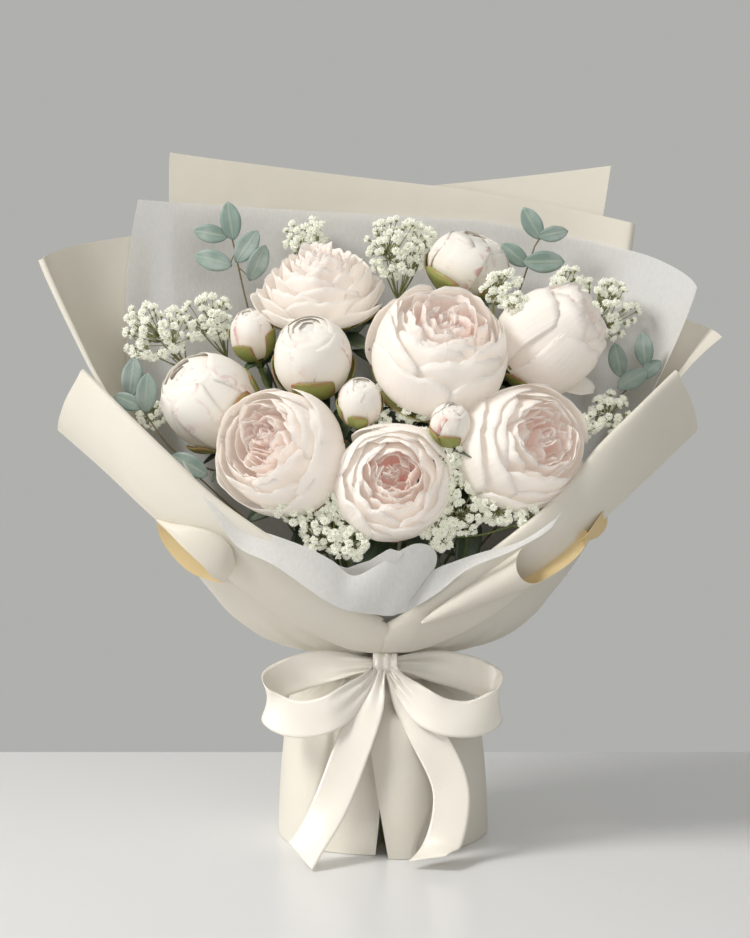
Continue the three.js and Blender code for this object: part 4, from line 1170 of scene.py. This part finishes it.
def wrap_grid(layer, left, right, top, flare=None, columns=56, wobble=0.6, turn=0.0):
    """A sheet of the funnel, as a grid from the tie up to its edge.

    left and right are its edges as (height, angle) and top its upper edge as (share across, height).
    flare pushes it out by an amount that depends on the share across and the height.
    """
    u = np.linspace(0, 1, columns)[None, :]
    v = np.linspace(0, 1, SHEET_ROWS)[:, None] ** 1.25
    z = NECK_Z + (straight_table(top)(u) - NECK_Z) * v
    degrees = straight_table(left)(z) * (1 - u) + straight_table(right)(z) * u
    buckle = wobble * (np.sin(7 * u + z / 23 + turn) + 0.7 * np.sin(13 * u - z / 41 + 2 * turn))
    out = LAYER_STEP * layer + gathers(degrees, z) + buckle * ease(z, *BUCKLE_STARTS)
    if flare:
        out = out + flare(u, z)
    return funnel(degrees, z, out)


def rolled(grid, radius, turn, towards, count=12):
    """A grid with its last column carried on round a roll, to its front (1) or its back (-1)."""
    edge = grid[:, -1]
    ahead = unit(grid[:, -1] - grid[:, -3])
    square = unit(np.cross(ahead, np.gradient(edge, axis=0))) * towards
    radius = np.broadcast_to(radius, len(edge))[:, None]
    extra = [
        edge + radius * (math.sin(a) * ahead + (1 - math.cos(a)) * square)
        for a in np.linspace(0, turn, count + 1)[1:]
    ]
    return np.concatenate([grid, np.stack(extra, axis=1)], axis=1)


def make_wrap(name, grids, thickness, finish="paper"):
    """One sheet of the wrapping, from one grid or more."""
    shape = Shape()
    for grid in grids:
        shape.sheet(grid, thickness)
    shape.build(name + "_sheet", finishes(finish), name, SHARP_FOLD)


# The rim and the foot of the front tissue, where it comes over the crests and doubles back in a fold.
TISSUE_RIM = [
    (-147, -100, 309), (-132, -104, 295), (-111, -108, 277), (-86, -111, 269), (-59, -113, 259),
    (-40, -113, 249), (-24, -113, 237), (-4, -117, 246), (17, -121, 260), (27, -122, 264), (38, -121, 262),
    (43, -118, 255), (42, -113, 244), (33, -108, 234), (27, -106, 227), (29, -108, 225), (41, -112, 241),
    (58, -116, 249), (80, -119, 257), (109, -119, 265), (135, -116, 281), (143, -112, 288),
]
TISSUE_FOOT = [
    (-144, -106, 300), (-131, -117, 281), (-115, -123, 261), (-88, -126, 248), (-63, -126, 231),
    (-46, -124, 219), (-32, -120, 211), (-16, -115, 207), (-4, -112, 205), (1, -111, 204), (5, -110, 204),
    (9, -108, 204), (13, -105, 205), (16, -103, 205), (19, -103, 206), (24, -105, 209), (32, -109, 214),
    (46, -113, 224), (68, -119, 243), (103, -121, 258), (133, -118, 275), (142, -113, 286),
]


def lofted(first, last, rows, columns):
    """A grid from one curve to another."""
    first, last = smooth_path(first, columns), smooth_path(last, columns)
    share = np.linspace(0, 1, rows)[:, None, None]
    return first[None] * (1 - share) + last[None] * share


def make_tissue(sizes):
    """The two sheets of tissue, next to the flowers."""
    thickness = sizes.tissue_thickness / MM
    back = wrap_grid(
        0, [(148, 196), (235, 188), (330, 168), (430, 151), (545, 137)],
        [(148, -16), (235, -10), (330, -6), (400, 0), (470, 4)],
        [(0, 541), (0.5, 524), (0.8, 492), (1, 466)], wobble=0.9, columns=90,
    )
    make_wrap("tissue_back", [back], thickness, "tissue")

    def lobe(u, z):
        """The fold at the middle: one crest and the hollow beside it."""
        near = np.exp(-(((u - 0.52) / 0.05) ** 2)) - 0.7 * np.exp(-(((u - 0.60) / 0.04) ** 2))
        return 9 * np.maximum(0, (z - 190) / 66) * near

    front = wrap_grid(
        0.1, [(148, 208), (240, 214), (327, 218)], [(148, 332), (240, 328), (296, 324)],
        [(0, 327), (0.05, 300), (0.16, 274), (0.28, 258), (0.4, 242), (0.46, 250), (0.51, 264), (0.56, 258),
         (0.60, 243), (0.65, 236), (0.79, 252), (0.92, 268), (1, 296)],
        flare=lobe, wobble=0.8, columns=120, turn=1.0,
    )
    rows, columns = 34, 160
    fold = lofted(TISSUE_RIM, TISSUE_FOOT, rows, columns)
    ruffle = 1.2 * np.sin(np.linspace(0, 19, columns))[None, :]
    fold[..., 1] += ruffle * np.linspace(0.2, 1, rows)[:, None]
    make_wrap("tissue_front", [front, fold], thickness, "tissue")


def make_head_paper(sizes):
    """The sheets of paper behind and beside the flowers."""
    thickness = sizes.paper_thickness / MM
    long_sheet = wrap_grid(
        1, [(148, 150), (330, 140), (585, 128)], [(148, 30), (330, 34), (530, 41)],
        [(0, 583), (0.6, 552), (1, 522)], columns=70, turn=2.0,
    )
    height = long_sheet[:, -1, 2]
    long_sheet = rolled(long_sheet, 4.2 * ease(height, 300, 430) + 0.4, 1.55 * math.pi, -1)
    make_wrap("paper_long", [long_sheet], thickness)
    back = wrap_grid(
        2.2, [(148, 120), (330, 118), (540, 112)], [(148, 44), (330, 46), (572, 48)],
        [(0, 540), (1, 572)], turn=3.0,
    )
    make_wrap("paper_back", [back], thickness)
    left = wrap_grid(
        1.1, [(148, 158), (330, 148), (520, 136)],
        [(148, 232), (235, 222), (330, 205), (400, 192), (500, 180)], [(0, 512), (1, 494)],
        flare=lambda u, z: 6 * u * np.maximum(0, (z - 300) / 194) ** 2, turn=4.0,
    )
    height = left[:, -1, 2]
    left = rolled(left, 1.2 + 1.4 * ease(height, 330, 480), 0.95 * math.pi, 1)
    make_wrap("paper_side_left", [left], thickness)
    right = wrap_grid(
        1.1, [(148, 22), (330, 26), (470, 30)],
        [(148, -50), (235, -42), (330, -20), (380, -9), (430, -4)], [(0, 448), (1, 436)],
        flare=lambda u, z: 30 * u * np.maximum(0, (z - 300) / 136) ** 3, turn=5.0,
    )
    make_wrap("paper_side_right", [right], thickness)


BOWL_LAYER = 2.3
# The bowl's two sheets: left edge, right edge, upper edge, and the turn of their buckles.
BOWL = {
    "paper_bowl_left": (
        [(148, 182), (330, 182)], [(148, 262), (240, 250)], [(0, 272), (0.5, 262), (1, 214)], 6.0),
    "paper_bowl_right": (
        [(148, 270), (240, 290)], [(148, 358), (330, 358)], [(0, 214), (0.5, 262), (1, 282)], 7.0),
}


def make_bowl(sizes):
    """The front sheets of the bowl, outermost, from the tie out to the sides."""
    for name, (left, right, top, turn) in BOWL.items():
        grid = wrap_grid(BOWL_LAYER, left, right, top, wobble=0.4, turn=turn)
        make_wrap(name, [grid], sizes.paper_thickness / MM)


# The turned-down bands: their crests, and their hems where they merge into the bowl.
CUFFS = {
    "paper_cuff_left": (
        [(-249, -48, 396), (-207, -78, 359), (-170, -97, 326), (-139, -107, 298), (-66, -116, 247),
         (-17, -101, 206), (12, -84, 186)],
        [(-272, -22, 347), (-226, -56, 313), (-187, -82, 281), (-143, -92, 245), (-70, -76, 190),
         (-22, -68, 168), (8, -68, 166)],
    ),
    "paper_cuff_right": (
        [(244, -50, 395), (209, -79, 366), (175, -97, 335), (144, -105, 298), (78, -112, 245),
         (30, -101, 207), (2, -86, 188)],
        [(264, -22, 346), (225, -56, 316), (187, -81, 285), (143, -90, 245), (78, -78, 192),
         (26, -70, 168), (-2, -72, 168)],
    ),
}
CUFF_FOLD = 9  # how far inside its crest a band comes up
CREST_HALF = 6.5


def cuff_grid(crest, hem, stations=90, around=30):
    """A band that comes up on the inside, rolls over its crest and hangs down outside."""
    crest, hem = smooth_path(crest, stations), smooth_path(hem, stations)
    columns = []
    for k, (top, low) in enumerate(zip(crest, hem)):
        along = k / (stations - 1)
        inward = unit([-math.copysign(0.45, top[0]), 1.0, 0.0])
        drop = low - top
        inside = inward * CUFF_FOLD
        bulge = -inward * (CREST_HALF - 2.5 * along)
        line = [
            top + inside + drop * 0.62, top + inside + drop * 0.15, top + inward * CREST_HALF + (0, 0, 2.6),
            top + inward * 2.4 + (0, 0, 2.4), top + drop * 0.10 + bulge * 0.25, top + drop * 0.45 + bulge,
            top + drop * 0.8 + bulge * 0.7, low,
        ]
        section = smooth_path(line, around)
        section[:, 1] += 0.7 * math.sin(along * 17 + 1) * np.linspace(0, 1, around)
        columns.append(section)
    return np.stack(columns, axis=1)


# The loop of paper below the left band: five curves from its back edge round to its free front edge.
LOOP_CURVES = [
    [(-185, -70, 276), (-183, -62, 262), (-176, -58, 249),
     (-160, -60, 233), (-143, -68, 227), (-132, -80, 226)],
    [(-184, -74, 278), (-177, -70, 270), (-165, -72, 262),
     (-148, -76, 250), (-133, -82, 242), (-125, -88, 235)],
    [(-182, -84, 279), (-168, -102, 277), (-153, -110, 276),
     (-135, -112, 271), (-122, -110, 261), (-118, -104, 247)],
    [(-183, -87, 279), (-170, -106, 274), (-156, -114, 269),
     (-139, -117, 258), (-128, -115, 247), (-121, -108, 239)],
    [(-184, -84, 278), (-172, -104, 271), (-161, -112, 261),
     (-144, -114, 245), (-136, -110, 235), (-128, -104, 230)],
]
LOOP_ROWS, LOOP_COLUMNS = 30, 50
ROLL_START, ROLL_MOUTH, ROLL_RADIUS = (30, -104, 196), (120, -108, 245), 15.5

# The small fold above the right roll: its outer and inner edge.
FOLD_EDGES = (
    [(183, -78, 286), (183, -76, 273), (176, -78, 264), (163, -86, 261)],
    [(179, -90, 287), (172, -96, 278), (166, -99, 270), (158, -100, 263)],
)


def loop_grid():
    """The left loop, rounded from its back edge over to its front."""
    curves = np.stack([smooth_path(curve, LOOP_COLUMNS) for curve in LOOP_CURVES])
    return np.stack([smooth_path(curves[:, k], LOOP_ROWS) for k in range(LOOP_COLUMNS)], axis=1)


def roll_grid(rows=44, columns=56):
    """The right roll: a long cone with its mouth cut aslant, open to the right."""
    start, mouth = np.array(ROLL_START, float), np.array(ROLL_MOUTH, float)
    ahead = unit(mouth - start)
    back = -unit(np.cross(ahead, (0, 0, 1)))
    over = -np.cross(back, ahead)
    angles = np.linspace(0, 2 * np.pi, columns, endpoint=False)
    sine, cosine = np.sin(angles)[:, None], np.cos(angles)[:, None]
    reach = 1 + 0.50 * np.maximum(0, np.cos(angles)) ** 0.8 - 0.12 * np.maximum(0, -np.cos(angles))
    grid = []
    for share in np.linspace(0.02, 1, rows):
        along = share * reach
        size = ROLL_RADIUS * np.minimum(along, 1) ** 0.7 * (1 + 0.1 * np.maximum(0, along - 1))
        middle = start + (mouth - start) * along[:, None]
        grid.append(middle + size[:, None] * (cosine * back + sine * over))
    return np.array(grid)


def make_cuffs(sizes):
    """The two turned-down bands, with the loop below the left one and the roll below the right one."""
    thickness = sizes.paper_thickness / MM
    for name, (crest, hem) in CUFFS.items():
        shape = Shape()
        shape.sheet(cuff_grid(crest, hem), thickness)
        # The loop, the roll's inside and the small fold wear the gold paper_back finish: partly the reverse's
        # own tone, partly painted shade and bounce light.
        if name.endswith("left"):
            shape.sheet(loop_grid(), thickness, finish=1, back_finish=0)
        else:
            shape.sheet(roll_grid(), thickness, back_finish=1, ring=True)
            shape.sheet(lofted(*FOLD_EDGES, 8, 30), thickness, finish=1)
        shape.build(name + "_sheet", finishes("paper", "paper_back"), name, SHARP_FOLD)


# ---------------------------------------------------------------------------------------------
# The skirt, the ribbon and the twine

SKIRT_PROFILE = [(0, 90), (8, 90), (70.8, 86), (112, 79), (124, 68), (131, 56), (137, 49.2), (144, 47.2)]
SKIRT_FOOT, SKIRT_TOP = 0.4, 144
SKIRT_ROWS, SKIRT_COLUMNS = 60, 260
SKIRT_BACK = 450  # the angle at the back, where the right side hands over to the left


def make_skirt(sizes):
    """The gathered lower ends of the wrapping: a flared skirt, open at the front between two flaps."""
    z = np.linspace(SKIRT_FOOT, SKIRT_TOP, SKIRT_ROWS)[:, None]
    share = np.linspace(0, 1, SKIRT_COLUMNS)[None, :]
    start = 273.0 - 10.6 * np.clip(z / 100, 0, 1)  # the right flap's free edge, lapping over the left panel
    end = 626.2 + 2.0 * np.clip(z / 28, 0, 1)
    degrees = start + (end - start) * share
    left_side = (degrees > SKIRT_BACK) * 1.0
    right_side = 1 - left_side
    turned = degrees - 360 * left_side
    radius = smooth_table(SKIRT_PROFILE)(z) + 0 * share
    angle = np.radians(turned)
    gather = np.sin(19 * angle + 1.5 * np.sin(4 * angle)) + 0.6 * np.sin(33 * angle)
    radius = radius + 1.7 * gather * ease(z, 84, 128) + 1.2 * np.sin(5 * angle + 1) * (1 - ease(z, 60, 130))
    fold_right = 286 + 18 * ease(z, 0, 80)
    crease_left = 229 + 10 * ease(z, 0, 100)
    low = 1 - ease(z, 112, 130)
    flap = (1 - ease(turned, fold_right - 1, fold_right + 2.2)) * ease(turned, 200, 250)
    belly = 2.0 + 7.0 * np.sin(np.radians(4.2 * np.clip(turned - 262, 0, 40)))
    radius = radius + right_side * flap * belly * low
    radius = radius - left_side * ease(turned, crease_left - 0.6, crease_left + 1.6) * 3.0 * low
    radius = radius - left_side * ease(turned, 244, 268) * 9.0 * ease(z, 2, 30) * low
    radius = radius + left_side * np.exp(-((turned - crease_left + 4) / 6) ** 2) * 2.0 * low
    grid = np.stack([radius * np.cos(angle), radius * np.sin(angle), z + 0 * share], -1)
    make_wrap("paper_skirt", [grid], sizes.paper_thickness / MM)


BAND_RADIUS, BAND_Z, BAND_HALF = 54.2, 142.6, 9
BAND_TURNS, BAND_ACROSS = 96, 15
BOW_Y, BOW_Z = -66.2, 160
TINT_RUN = 300  # millimetres of ribbon over which its tint goes from 0 to 1
KNOT_LENGTH, KNOT_WIDTH, KNOT_ACROSS = 60, 20, 21
TAIL_END = 10.5
LOOP_LINE = [(4, 0, -4), (32, 4, -5), (66, 5, -11), (92, -4, -22), (94, -18, -34), (74, -30, -43),
             (44, -32, -39), (20, -18, -22), (6, -6, -8)]
LOOP_WIDTHS = [(0, 0.3, 1), (0, 0.45, 0.9), (0, 0.3, 1), (0, 0.1, 1), (0, 0.1, 1), (0, 0.25, 1),
               (0, 0.3, 1), (0, 0.3, 1), (0, 0.2, 1)]


def bow_point(x, y, z):
    """A point given from the middle of the bow."""
    return (x, BOW_Y + y, BOW_Z + z)


PINCH_REACH = 0.13  # share of a strip's length over which the knot gathers it
PINCHED = 0.62  # share of its width that it loses there
PINCH_RIPPLE, LOOSE_RIPPLE = 2.4, 0.6
CUT_START = 0.8  # how far along a tail its slanted end starts


def strip_grid(points, widths, count, width, across=13, pinch=(), ripple=1.0, slant=0.0):
    """A strip of ribbon along a curve; pinch lists the ends, 0 or 1, where it is gathered into the knot."""
    path = even_path(points, count)
    share = np.linspace(0, 1, count)
    places = np.linspace(0, 1, len(widths))
    turned = np.stack([np.interp(share, places, [w[k] for w in widths]) for k in range(3)], -1)
    ahead = unit(np.gradient(path, axis=0))
    turned = unit(turned - ahead * np.sum(turned * ahead, axis=1, keepdims=True))
    square = np.cross(ahead, turned)
    gathered = sum(np.exp(-((share - end) / PINCH_REACH) ** 2) for end in pinch) + 0 * share
    wide = width * (1 - PINCHED * gathered)
    side = np.linspace(-0.5, 0.5, across)
    waves = np.sin(side[None, :] * 15 + 0.6) * PINCH_RIPPLE * gathered[:, None] * ripple
    loose = np.sin(side[None, :] * 4 + share[:, None] * 9) * (1 - gathered[:, None])
    waves = waves + LOOSE_RIPPLE * loose
    cut = slant * width * side[None, :] * ease(share, CUT_START, 1.0)[:, None]
    return (
        path[:, None] + turned[:, None] * (side[None, :] * wide[:, None])[..., None]
        + square[:, None] * waves[..., None] + ahead[:, None] * cut[..., None]
    )


def ribbon_tint(grid):
    """How far along and across the ribbon each point is, and the ribbon's length."""
    rows, columns = grid.shape[:2]
    steps = np.linalg.norm(np.diff(grid[:, columns // 2], axis=0), axis=1)
    run = np.concatenate([[0], np.cumsum(steps)])
    tint = tint_grid((rows, columns), (run / TINT_RUN)[:, None], np.linspace(0, 1, columns)[None, :])
    return tint, float(np.sum(steps))


def make_ribbon(sizes):
    """The satin ribbon: a band round the tie, a knot, two loops and two tails."""
    width = sizes.ribbon_width / MM
    thickness = sizes.ribbon_thickness / MM
    shape = Shape()
    degrees = np.linspace(0, 360, BAND_TURNS, endpoint=False)[None, :]
    angle = np.radians(degrees)
    side = np.linspace(-BAND_HALF, BAND_HALF, BAND_ACROSS)[:, None]
    radius = BAND_RADIUS + 1.1 * np.sin(side * 1.05 + 2 * np.sin(2 * angle))
    height = BAND_Z + 8 * np.maximum(0, -np.sin(angle)) + side
    band = np.stack([radius * np.cos(angle), radius * np.sin(angle), height], -1)
    tint = tint_grid(radius.shape, degrees / TINT_RUN, np.linspace(0, 1, BAND_ACROSS)[:, None])
    shape.sheet(band, thickness, tint, ring=True)
    ribbon_length = 2 * math.pi * BAND_RADIUS + KNOT_LENGTH
    strips = [
        ([bow_point(s * x, y, z) for x, y, z in LOOP_LINE], LOOP_WIDTHS, 90, (0, 1), 0) for s in (-1, 1)
    ]
    strips.append((
        [bow_point(-2, -6, -6), bow_point(-22, -31, -60), bow_point(-44, -40, -116),
         (-66, BOW_Y - 60, TAIL_END)],
        [(1, -0.1, 0), (0.98, -0.2, 0), (0.95, -0.1, 0.2), (0.9, 0, 0.3)], 80, (0,), 0.4,
    ))
    strips.append((
        [bow_point(6, -6, -6), bow_point(36, -28, -56), bow_point(56, -34, -102), bow_point(50, -46, -140),
         (36, BOW_Y - 66, TAIL_END)],
        [(1, -0.1, 0), (0.9, -0.25, 0.4), (0.98, -0.1, 0.1), (0.98, 0, -0.1), (0.9, 0, 0.3)], 90, (0,), -0.4,
    ))
    for points, widths, count, pinch, slant in strips:
        grid = strip_grid(points, widths, count, width, pinch=pinch, slant=slant)
        tint, run = ribbon_tint(grid)
        shape.sheet(grid, thickness, tint)
        ribbon_length += run
    middle = bow_point(2, 0, -3)
    knot = [np.add(middle, (0, 8 * math.cos(a), 9.5 * math.sin(a))) for a in np.linspace(0, 2 * math.pi, 12)]
    grid = strip_grid(knot, [(1, 0, 0)] * 4, 50, KNOT_WIDTH, across=KNOT_ACROSS, ripple=0)
    ridges = 0.9 * np.sin(np.linspace(-1, 1, KNOT_ACROSS) * 9)
    grid = grid + unit(grid - middle) * ridges[None, :, None]
    shape.sheet(grid, thickness, ribbon_tint(grid)[0])
    bow = shape.build("ribbon_bow_satin", finishes("satin"), "ribbon_bow")
    flat = (sizes.ribbon_width, round(ribbon_length * MM, 2))


TWINE_TURNS, TWINE_STEP = 4, 1.9
TWINE_RADIUS, TWINE_THICK = 32.2, 0.95


def make_twine():
    """Turns of twine round the stems."""
    turns = np.linspace(0, TWINE_TURNS, 220)
    angle = 2 * math.pi * turns
    radius = TWINE_RADIUS + 0.25 * np.sin(7 * angle)
    height = TIE_HEIGHT - 3.6 + TWINE_STEP * turns
    shape = Shape()
    shape.tube(np.stack([radius * np.cos(angle), radius * np.sin(angle), height], -1), TWINE_THICK, 8)
    shape.build("twine_binding", finishes("twine"), "twine")


# ---------------------------------------------------------------------------------------------
# The stage

FLOOR_TONE = (0.73, 0.73, 0.73)
FLOOR_ROUGHNESS = 0.28
FLOOR_CORNERS = [(-9, -9, 0), (9, -9, 0), (9, 0.3, 0), (-9, 0.3, 0)]
CAMERA_HEIGHT = 0.491
CAMERA_BACK = 1.85
CAMERA_SIDE = -0.006
CAMERA_TILT = 5.53
CAMERA_LENS = 83.97
WORLD_TONE = (0.985, 0.985, 0.955, 1)
WORLD_STRENGTH = 0.44
LIGHTS = {  # place, aim, size across, power, spread in degrees, colour
    "key": ((-1.7, -0.9, 2.1), (0, 0, 0.32), 1.0, 55.0, 180, (1.0, 0.985, 0.96)),
    "fill": ((0.6, -2.3, 1.3), (0, 0, 0.35), 1.6, 9.5, 180, (0.99, 0.99, 1.0)),
    "low": ((-1.5, -0.6, 0.3), (0, 0, 0.05), 0.5, 0.20, 20, (1.0, 0.985, 0.96)),
}


def floor_finish():
    """The floor: pale and smooth, with a faint mottle."""
    finish = Finish("floor")
    mottle = finish.noise(3.0, 2.0)
    base = finish.mix(mottle * 0.3, FLOOR_TONE, darker(FLOOR_TONE, 0.04))
    return finish.done({"Base Color": base, "Roughness": FLOOR_ROUGHNESS})


def make_stage():
    """The floor, the lights and the camera."""
    mesh = bpy.data.meshes.new("floor")
    mesh.from_pydata(FLOOR_CORNERS, [], [(0, 1, 2, 3)])
    mesh.materials.append(floor_finish())
    placed("floor", mesh)
    for name, (place, aim, size, power, spread, tone) in LIGHTS.items():
        light = bpy.data.lights.new(name, "AREA")
        light.shape, light.size, light.energy, light.color = "DISK", size, power, tone
        light.spread = math.radians(spread)
        lamp = placed(name, light)
        lamp.location = place
        lamp.rotation_euler = (Vector(aim) - Vector(place)).to_track_quat("-Z", "Y").to_euler()
    scene = bpy.context.scene
    scene.world = bpy.data.worlds.new("studio")
    scene.world.use_nodes = True
    background = scene.world.node_tree.nodes["Background"].inputs
    background["Color"].default_value, background["Strength"].default_value = WORLD_TONE, WORLD_STRENGTH
    scene.view_settings.view_transform = "Standard"
    camera = placed("camera", bpy.data.cameras.new("camera"))
    camera.location = (TIE_LINE[0] + CAMERA_SIDE, TIE_LINE[1] - CAMERA_BACK, CAMERA_HEIGHT)
    camera.rotation_euler = (math.radians(90 - CAMERA_TILT), 0, 0)
    camera.data.lens = CAMERA_LENS
    scene.camera = camera


# ---------------------------------------------------------------------------------------------
# Operators and panel


class BunchMaker:
    """What the bunch's operators share."""

    bl_options = {"REGISTER", "UNDO"}

    @staticmethod
    def sizes(context):
        """The sizes that the panel shows."""
        return context.scene.bunch_sizes


class MakeStage(BunchMaker, bpy.types.Operator):
    """Set up the floor, the lights and the camera"""

    bl_idname = "bunch.stage"
    bl_label = "Stage"

    def execute(self, context):
        make_stage()
        return {"FINISHED"}


class MakePeonies(BunchMaker, bpy.types.Operator):
    """Make the twelve peonies, from open blooms to tight buds"""

    bl_idname = "bunch.peonies"
    bl_label = "Peonies"

    def execute(self, context):
        for name in PEONIES:
            make_peony(name, self.sizes(context))
        return {"FINISHED"}


class MakeGypsophila(BunchMaker, bpy.types.Operator):
    """Make the ten sprays of gypsophila"""

    bl_idname = "bunch.gypsophila"
    bl_label = "Gypsophila"

    def execute(self, context):
        for name in SPRAYS:
            make_spray(name, self.sizes(context))
        return {"FINISHED"}


class MakeEucalyptus(BunchMaker, bpy.types.Operator):
    """Make the five sprigs of eucalyptus"""

    bl_idname = "bunch.eucalyptus"
    bl_label = "Eucalyptus"

    def execute(self, context):
        for name in SPRIGS:
            make_sprig(name, self.sizes(context))
        return {"FINISHED"}


class MakeTissue(BunchMaker, bpy.types.Operator):
    """Make the two sheets of tissue round the flowers"""

    bl_idname = "bunch.tissue"
    bl_label = "Tissue"

    def execute(self, context):
        make_tissue(self.sizes(context))
        return {"FINISHED"}


class MakeHeadPaper(BunchMaker, bpy.types.Operator):
    """Make the sheets of paper behind and beside the flowers"""

    bl_idname = "bunch.head_paper"
    bl_label = "Head paper"

    def execute(self, context):
        make_head_paper(self.sizes(context))
        return {"FINISHED"}


class MakeBowlPaper(BunchMaker, bpy.types.Operator):
    """Make the front sheets of the bowl and their turned-down bands"""

    bl_idname = "bunch.bowl_paper"
    bl_label = "Bowl paper"

    def execute(self, context):
        make_bowl(self.sizes(context))
        make_cuffs(self.sizes(context))
        return {"FINISHED"}


class MakeSkirt(BunchMaker, bpy.types.Operator):
    """Make the paper skirt that the bunch stands in"""

    bl_idname = "bunch.skirt"
    bl_label = "Skirt"

    def execute(self, context):
        make_skirt(self.sizes(context))
        return {"FINISHED"}


class MakeTie(BunchMaker, bpy.types.Operator):
    """Make the twine round the stems and the satin bow over it"""

    bl_idname = "bunch.tie"
    bl_label = "Twine and bow"

    def execute(self, context):
        make_twine()
        make_ribbon(self.sizes(context))
        return {"FINISHED"}


MAKERS = (
    MakeStage, MakePeonies, MakeGypsophila, MakeEucalyptus, MakeTissue, MakeHeadPaper, MakeBowlPaper, MakeSkirt,
    MakeTie,
)


class BunchPanel(bpy.types.Panel):
    """The bunch's sizes, colours and makers"""

    bl_idname = "VIEW3D_PT_bunch"
    bl_label = "Peony bunch"
    bl_space_type = "VIEW_3D"
    bl_region_type = "UI"
    bl_category = "Bunch"

    def draw(self, context):
        """Lists the sizes, the colours and a button for each operator."""
        for group in (context.scene.bunch_sizes, context.scene.bunch_colours):
            column = self.layout.column()
            for name in group.__annotations__:
                column.prop(group, name)
        for maker in MAKERS:
            self.layout.operator(maker.bl_idname)


CLASSES = (BunchSizes, BunchColours, *MAKERS, BunchPanel)


def register():
    """Adds the bunch's classes and properties."""
    for each in CLASSES:
        bpy.utils.register_class(each)
    bpy.types.Scene.bunch_sizes = bpy.props.PointerProperty(type=BunchSizes)
    bpy.types.Scene.bunch_colours = bpy.props.PointerProperty(type=BunchColours)


def unregister():
    """Takes the bunch's classes and properties away."""
    del bpy.types.Scene.bunch_colours
    del bpy.types.Scene.bunch_sizes
    for each in reversed(CLASSES):
        bpy.utils.unregister_class(each)


def main():
    """Makes the whole bunch on its stage."""
    register()
    for maker in MAKERS:
        area, name = maker.bl_idname.split(".")
        getattr(getattr(bpy.ops, area), name)()


if __name__ == "__main__":
    main()
